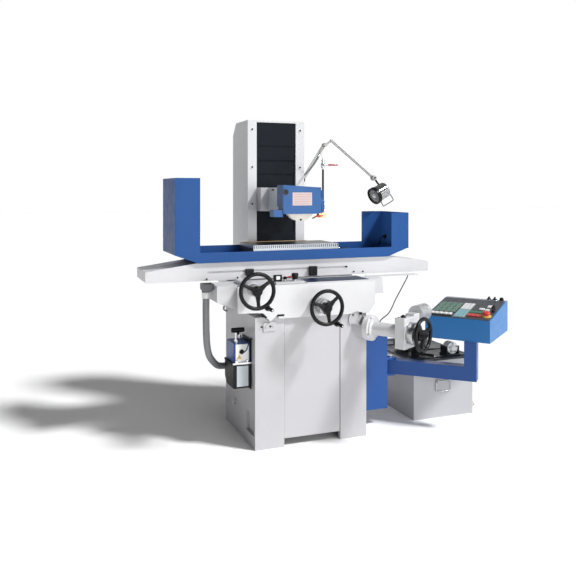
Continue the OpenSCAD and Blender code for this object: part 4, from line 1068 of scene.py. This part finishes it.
CONSOLE_TURN = math.radians(-50.6)
CONSOLE_CORNER = Vector((713, -235, 500))
CONSOLE_W, CONSOLE_D = 366, 425
FRONT_H, BACK_H, LEDGE_D = 122, 177, 46
SLOPE = math.atan2(BACK_H - FRONT_H, CONSOLE_D - LEDGE_D)
SLOPE_L = math.hypot(BACK_H - FRONT_H, CONSOLE_D - LEDGE_D)
CONSOLE_PLACE = Matrix.Translation(CONSOLE_CORNER) @ Matrix.Rotation(CONSOLE_TURN, 4, "Z")
PANEL_PLACE = (CONSOLE_PLACE @ Matrix.Translation((0, 0, FRONT_H))
               @ Matrix.Rotation(SLOPE, 4, "X"))
STOP_PLACE = Vector((330, 68, 0))


def keys(x, y, width, depth, low, high, columns=1, rows=1, across=0.0, up=0.0):
    """Boxes in columns and rows, from the corner of the first one."""
    return [(x + across * c, x + across * c + width, y + up * r, y + up * r + depth, low, high)
            for c in range(columns) for r in range(rows)]


# name, paint, bevel, segments, boxes
PANEL_PIECES = (
    ("screen", KEYPAD, 1, 2, keys(12, 92, 138, 196, 3, 6)),
    ("screen_bars", DISPLAY_BAR, 0.5, 2, keys(18, 100, 26, 17, 5.5, 6.6, 4, 3, 33, 62)
     + keys(21, 131, 26, 17, 5.5, 6.6, 4, 3, 33, 62)),
    ("screen_rows", DISPLAY, 0.3, 2, keys(18, 120, 127, 7, 5.5, 6.3, rows=5, up=31)),
    ("front_keys", WHITE_PLASTIC, 2.5, 3, keys(12, 42, 22, 30, 3, 11, 5, across=26)),
    # painted shadow: a black strip just below the row of white keys, standing for the shadow the raised keys
    # cast
    ("key_painted_shadow", BLACK_MATT, 0.8, 2, keys(8, 14, 136, 28, 2.5, 4)),
    ("pad_base", DIM_PLASTIC, 0.6, 2, keys(152, 20, 66, 266, 3, 4.5)),
    ("cyan_keys", KEY_CYAN, 1.5, 2, keys(155, 26, 18, 22, 4, 7.5, 3, 5, 20.5, 27)),
    ("pale_keys", WHITE_PLASTIC, 1.5, 2, keys(155, 170, 17, 32, 4, 7.5, 3, 3, 20.5, 38)),
    ("red_keys", KEY_RED, 2.2, 3, keys(226, 44, 19, 40, 3, 11, 4, across=21)),
    ("green_keys", KEY_GREEN, 2, 3, keys(226, 106, 19, 36, 3, 8, 4, across=21)),
    ("white_switches", WHITE_PLASTIC, 3, 3, keys(262, 168, 30, 28, 3, 11)
     + keys(298, 160, 24, 26, 3, 11) + keys(296, 218, 22, 44, 3, 10)),
)


def make_pendant():
    shell("pendant_pillar", DEEP_BLUE, 3.0, 3)
    shell("swing_arm", DEEP_BLUE, 3.0, 3)
    shell("console_box", CONSOLE_BLUE_PAINTED_LIGHT, 2.5, 3)
    Shape().rod((564, -94, 372), (564, -94, 379), 20, chamfer=2).make(
        "arm_pin_cap", STEEL_ROUND, "pendant_pillar")
    Shape(PANEL_PLACE).block(6, CONSOLE_W - 6, 6, SLOPE_L - 8, 0, 3).make(
        "console_plate", KEYPAD, "console_panel", 0.8, instead=True)
    Shape(CONSOLE_PLACE).block(6, CONSOLE_W - 6, CONSOLE_D - LEDGE_D + 4, CONSOLE_D - 5,
                               BACK_H - 1, BACK_H + 1).make(
        "console_ledge_plate", DIM_PLASTIC, "console_panel", 0.6)
    for name, paint, bevel, segments, boxes in PANEL_PIECES:
        Shape(PANEL_PLACE).blocks(*boxes).make(
            "console_" + name, paint, "console_panel", bevel, segments)
    knobs = Shape(PANEL_PLACE)
    for x, y in ((330, 236), (340, 196), (346, 158)):
        knobs.rod((x, y, 3), (x, y, 13), 10, chamfer=2)
        knobs.block(x - 3, x + 3, y - 10, y + 10, 12, 20)
    knobs.make("console_switch_knobs", BLACK_PLASTIC, "console_panel", 1)

    Shape(PANEL_PLACE).lathe(STOP_PLACE + Z_AXIS * 3, Z_AXIS,
                             [(0, 27), (4, 27), (6, 24), (6.5, 12)], 48).make(
        "stop_collar", STOP_YELLOW, "console_panel", 0.6)
    Shape(PANEL_PLACE).lathe(STOP_PLACE, Z_AXIS, [
        (-14, 8), (11, 8), (12, 15), (17, 17), (21, 20), (28, 20), (31, 17), (32.5, 10)]).make(
        "stop_button_cap", STOP_RED, "estop_button", 0.6, instead=True)

    y = CONSOLE_D - LEDGE_D / 2
    for node, x in (("selector_left", 262), ("selector_middle", 296)):
        knob = Shape(CONSOLE_PLACE).lathe((x, y, BACK_H + 1.2), Z_AXIS,
                                          [(0, 12), (1, 13), (7, 13), (8, 12)], 32)
        knob.block(x - 4, x + 4, y - 12.5, y + 12.5, BACK_H + 8, BACK_H + 20)
        knob.make(node + "_knob", BLACK_PLASTIC, node, 1.5, instead=True)
        Shape(CONSOLE_PLACE).pipe((x, y, BACK_H + 0.5), Z_AXIS, 17, 13.5, 4).make(
            node + "_base", CHROME, "console_panel", 0.6)
    Shape(CONSOLE_PLACE).lathe((336, y, BACK_H), Z_AXIS,
                               [(0, 17), (4, 16), (6, 12), (18, 11), (19, 9)], 32).make(
        "console_lamp", BLACK_PLASTIC, "console_panel", 0.8)


# ---------- coolant tank ----------

TANK_LEFT, TANK_RIGHT, TANK_FRONT, TANK_BACK = 690, 1095, -150, 450


def make_tank():
    left, right, front, back = TANK_LEFT, TANK_RIGHT, TANK_FRONT, TANK_BACK
    shell("coolant_tank", TANK_GREY, 1.5)
    rim = Shape().blocks(*((left - 4, right + 4, y - 4, y + 4, 334, 346) for y in (front, back)))
    rim.blocks(*((x - 4, x + 4, front + 4, back - 4, 334, 346) for x in (left, right)))
    rim.make("tank_rim", DARK_ENAMEL, "coolant_tank", 1.5)

    lid = Shape().block(left + 4, right - 4, front + 4, back - 4, 333, 344)
    for y in (front + 30, front + 230, front + 430, front + 560):
        lid.block(left + 20, right - 20, y, y + 14, 343, 349)
    lid.make("tank_lid", DARK_ENAMEL, "coolant_pumps", 1.5, instead=True)
    pumps, caps = Shape(), Shape()
    x = left + 120
    for y in (front + 150, front + 330):
        pumps.rod((x, y, 120), (x, y, 345), 30)
        pumps.lathe((x, y, 344), Z_AXIS,
                    [(0, 44), (8, 44), (9, 38), (64, 38), (66, 44), (72, 44)], 48)
        pumps.fins((x, y, 354), Z_AXIS, 18, (37, 1), (43.5, 0.7), 0, 55)
        caps.lathe((x, y, 414), Z_AXIS, [(0, 45), (4, 45), (14, 42), (20, 32), (22, 12)], 48)
        caps.block(x - 58, x - 34, y - 20, y + 20, 362, 402)
    pumps.make("pump_bodies", DARK_ENAMEL, "coolant_pumps", 0.6)
    caps.make("pump_caps", BLACK_PLASTIC, "coolant_pumps", 1)
    x, y, z = left + 295, front + 100, 388
    drum = Shape().lathe((x, y, z), FRONT, [(0, 34), (2, 36), (54, 36), (56, 33)], 56)
    drum.lathe((x, y - 55, z), FRONT, [(0, 20), (2, 20), (3, 16), (8, 15)], 32)
    drum.make("separator_drum", ALLOY, "coolant_pumps", 0.6)
    Shape().blocks((x - 45, x + 45, y - 70, y + 20, 344, 354),
                   (x - 44, x - 38, y - 60, y + 10, 350, 400),
                   (x + 38, x + 44, y - 60, y + 10, 350, 400)).make(
        "separator_stand", DARK_ENAMEL, "coolant_pumps", 1.5)
    holes = Shape()
    for k in range(5):
        a = math.radians(72 * k + 20)
        across, rise = x + 26 * math.cos(a), z + 26 * math.sin(a)
        holes.rod((across, y - 55.5, rise), (across, y - 57.5, rise), 4, n=16)
    holes.make("separator_holes", BLACK_MATT, "coolant_pumps")

    low, high = mm_box("tank_handle")
    a, b, y, top, bottom = low.x + 3, high.x - 3, front - 7, high.z - 3, low.z + 3
    Shape().tube(smooth_path([(a, y, top), (a, y, top - 16), (a, y, bottom + 10),
                              (a + 10, y, bottom), (a + 26, y, bottom), (b - 26, y, bottom),
                              (b - 10, y, bottom), (b, y, bottom + 10), (b, y, top - 16),
                              (b, y, top)], 4), 3, 12).rod(
        (a - 2.5, y, top), (b + 2.5, y, top), 3, 16).make(
        "tank_bail", STEEL_ROUND, "tank_handle", instead=True)
    Shape().rod((right - 1, front + 22, 45), (right + 24, front + 22, 45), 9, chamfer=1).rod(
        (right + 14, front + 22, 36), (right + 14, front + 22, 60), 6).make(
        "tank_tap", BRASS, "coolant_tank", 0.8)


# ---------- lamp ----------

LAMP_BASE = Vector((205, 370, 1400))
LAMP_ELBOW = Vector((342, 350, 1621))
LAMP_BEND = Vector((383, 329, 1647))
LAMP_CENTRE = Vector((690, 250, 1325))
LAMP_AIM = Vector((-0.881, -0.2, -0.43)).normalized()


def cross_rod(shape, place, y0, y1, r, **settings):
    """A rod along y through a place."""
    return shape.rod((place.x, y0, place.z), (place.x, y1, place.z), r, **settings)


def make_lamp_arm():
    shell("lamp_bracket", ALLOY, 1.5)
    base, elbow, bend = LAMP_BASE, LAMP_ELBOW, LAMP_BEND
    tilt = joint_place("lamp_tilt")
    Shape().lathe(base - Z_AXIS * 9.5, Z_AXIS, [(0, 14), (1, 16), (18, 16), (21, 13)], 36).make(
        "lamp_foot", BLACK_PLASTIC, "lamp_lower_arm", 0.6, instead=True)
    direction = (elbow - base).normalized()
    side = direction.cross(Y_AXIS).normalized()
    wide, deep = side * 10, side.cross(direction).normalized() * 5
    lower = Shape().loft([[p + wide + deep, p + wide - deep, p - wide - deep, p - wide + deep]
                          for p in (base + direction * 4, elbow - direction * 2)])
    cross_rod(lower, elbow, 338, 362, 12, chamfer=1).make(
        "lamp_lower_tube", PALE_ALLOY, "lamp_lower_arm", 1.5)
    cross_rod(Shape(), elbow, 336, 364, 7, n=6).make(
        "lamp_elbow_bolt", CHROME, "lamp_lower_arm", 0.6)

    upper = cross_rod(Shape(), elbow, 322.5, 335.3, 12, chamfer=1)
    upper.rod((elbow.x, 329, elbow.z), bend, 6)
    cross_rod(upper, bend, 320, 338, 9, chamfer=1).make(
        "lamp_upper_joints", PALE_ALLOY, "lamp_upper_arm", 0.5, instead=True)
    end = tilt + Vector((-12, 8, 10))
    rods = Shape()
    for shift in (Vector((-2.75, 0, -3.025)), Vector((2.75, 0, 3.025))):
        rods.rod(bend + shift, end + shift, 2.8, n=14)
    rods.make("lamp_upper_rods", ROD_STEEL, "lamp_upper_arm")
    cross_rod(Shape(), tilt, 256, 271, 17, n=40, chamfer=1.5).make(
        "lamp_joint_disc", PALE_ALLOY, "lamp_upper_arm")


def make_lamp_head():
    tilt, centre, aim = joint_place("lamp_tilt"), LAMP_CENTRE, LAMP_AIM
    back = centre - aim * 50
    stem = cross_rod(Shape(), tilt, 231, 274, 5)
    stem.tube(smooth_path([(tilt.x, 246, tilt.z), (tilt.x + 18, 246, tilt.z - 26),
                           centre + Vector((-12, -2, 42)), centre + Vector((-10, -2, 20))], 5),
              6, 14)
    stem.make("lamp_head_stem", BLACK_PLASTIC, "lamp_head", 0.5, instead=True)
    Shape().lathe((tilt.x, 239, tilt.z), Y_AXIS, [(0, 13), (2, 15), (13, 15), (15, 13)],
                  36).make("lamp_stem_disc", PALE_ALLOY, "lamp_head")
    Shape().lathe(back, aim, [(0, 14), (2, 26), (6, 34), (12, 41), (14, 45), (92, 45)],
                  64).make("lamp_head_core", BLACK_OXIDE, "lamp_head")
    fins = Shape()
    for k in range(8):
        fins.pipe(back + aim * (14 + 9.6 * k), aim, 49.6, 44.5, 6.4, 64)
    fins.make("lamp_head_fins", CHROME, "lamp_head", 1.2)
    # wire handle under the shade: how far along the shade, and how far below its middle
    across = aim.cross(Z_AXIS).normalized()
    under = across.cross(aim).normalized()
    wire = [back + aim * t - across * 20 - under * r for t, r in (
        (90, 47), (86, 74), (78, 83), (4, 84), (-8, 78), (-6, 66), (3, 30))]
    Shape().tube(smooth_path(wire), 2.6, 12).make("lamp_wire_handle", BLACK_OXIDE, "lamp_head")
    Shape().pipe(back + aim * 92, aim, 54.5, 49, 22, 64).pipe(
        back + aim * 112, aim, 54.5, 46, 3.6, 64).make(
        "lamp_front_rim", BLACK_PLASTIC, "lamp_head", 0.8)
    Shape().lathe(back + aim * 104, aim, [(0, 48), (3, 48), (5, 40), (6.5, 22), (7, 4)],
                  56).make("lamp_lens", GLASS_GREY, "lamp_head")
    Shape().lathe(back + aim * 110.5, aim, [(0, 13), (1.5, 13), (2.6, 8), (3, 2)], 32).make(
        "lamp_lens_boss", WHITE_PLASTIC, "lamp_head")
    Shape().lathe(back + aim, -aim, [(0, 26), (2, 24), (4, 10)], 32).make(
        "lamp_tail_cap", BLACK_PLASTIC, "lamp_head")


make_camera()
make_cords()
make_lights()
make_floor()
make_base()
make_way_covers()
make_lubricator()
make_hose_ends()
make_wheels()
make_feed_unit()
make_saddle()
make_table()
make_head()
make_grinding_wheel()
make_spindle_motor()
make_coolant()
make_pendant()
make_tank()
make_lamp_arm()
make_lamp_head()
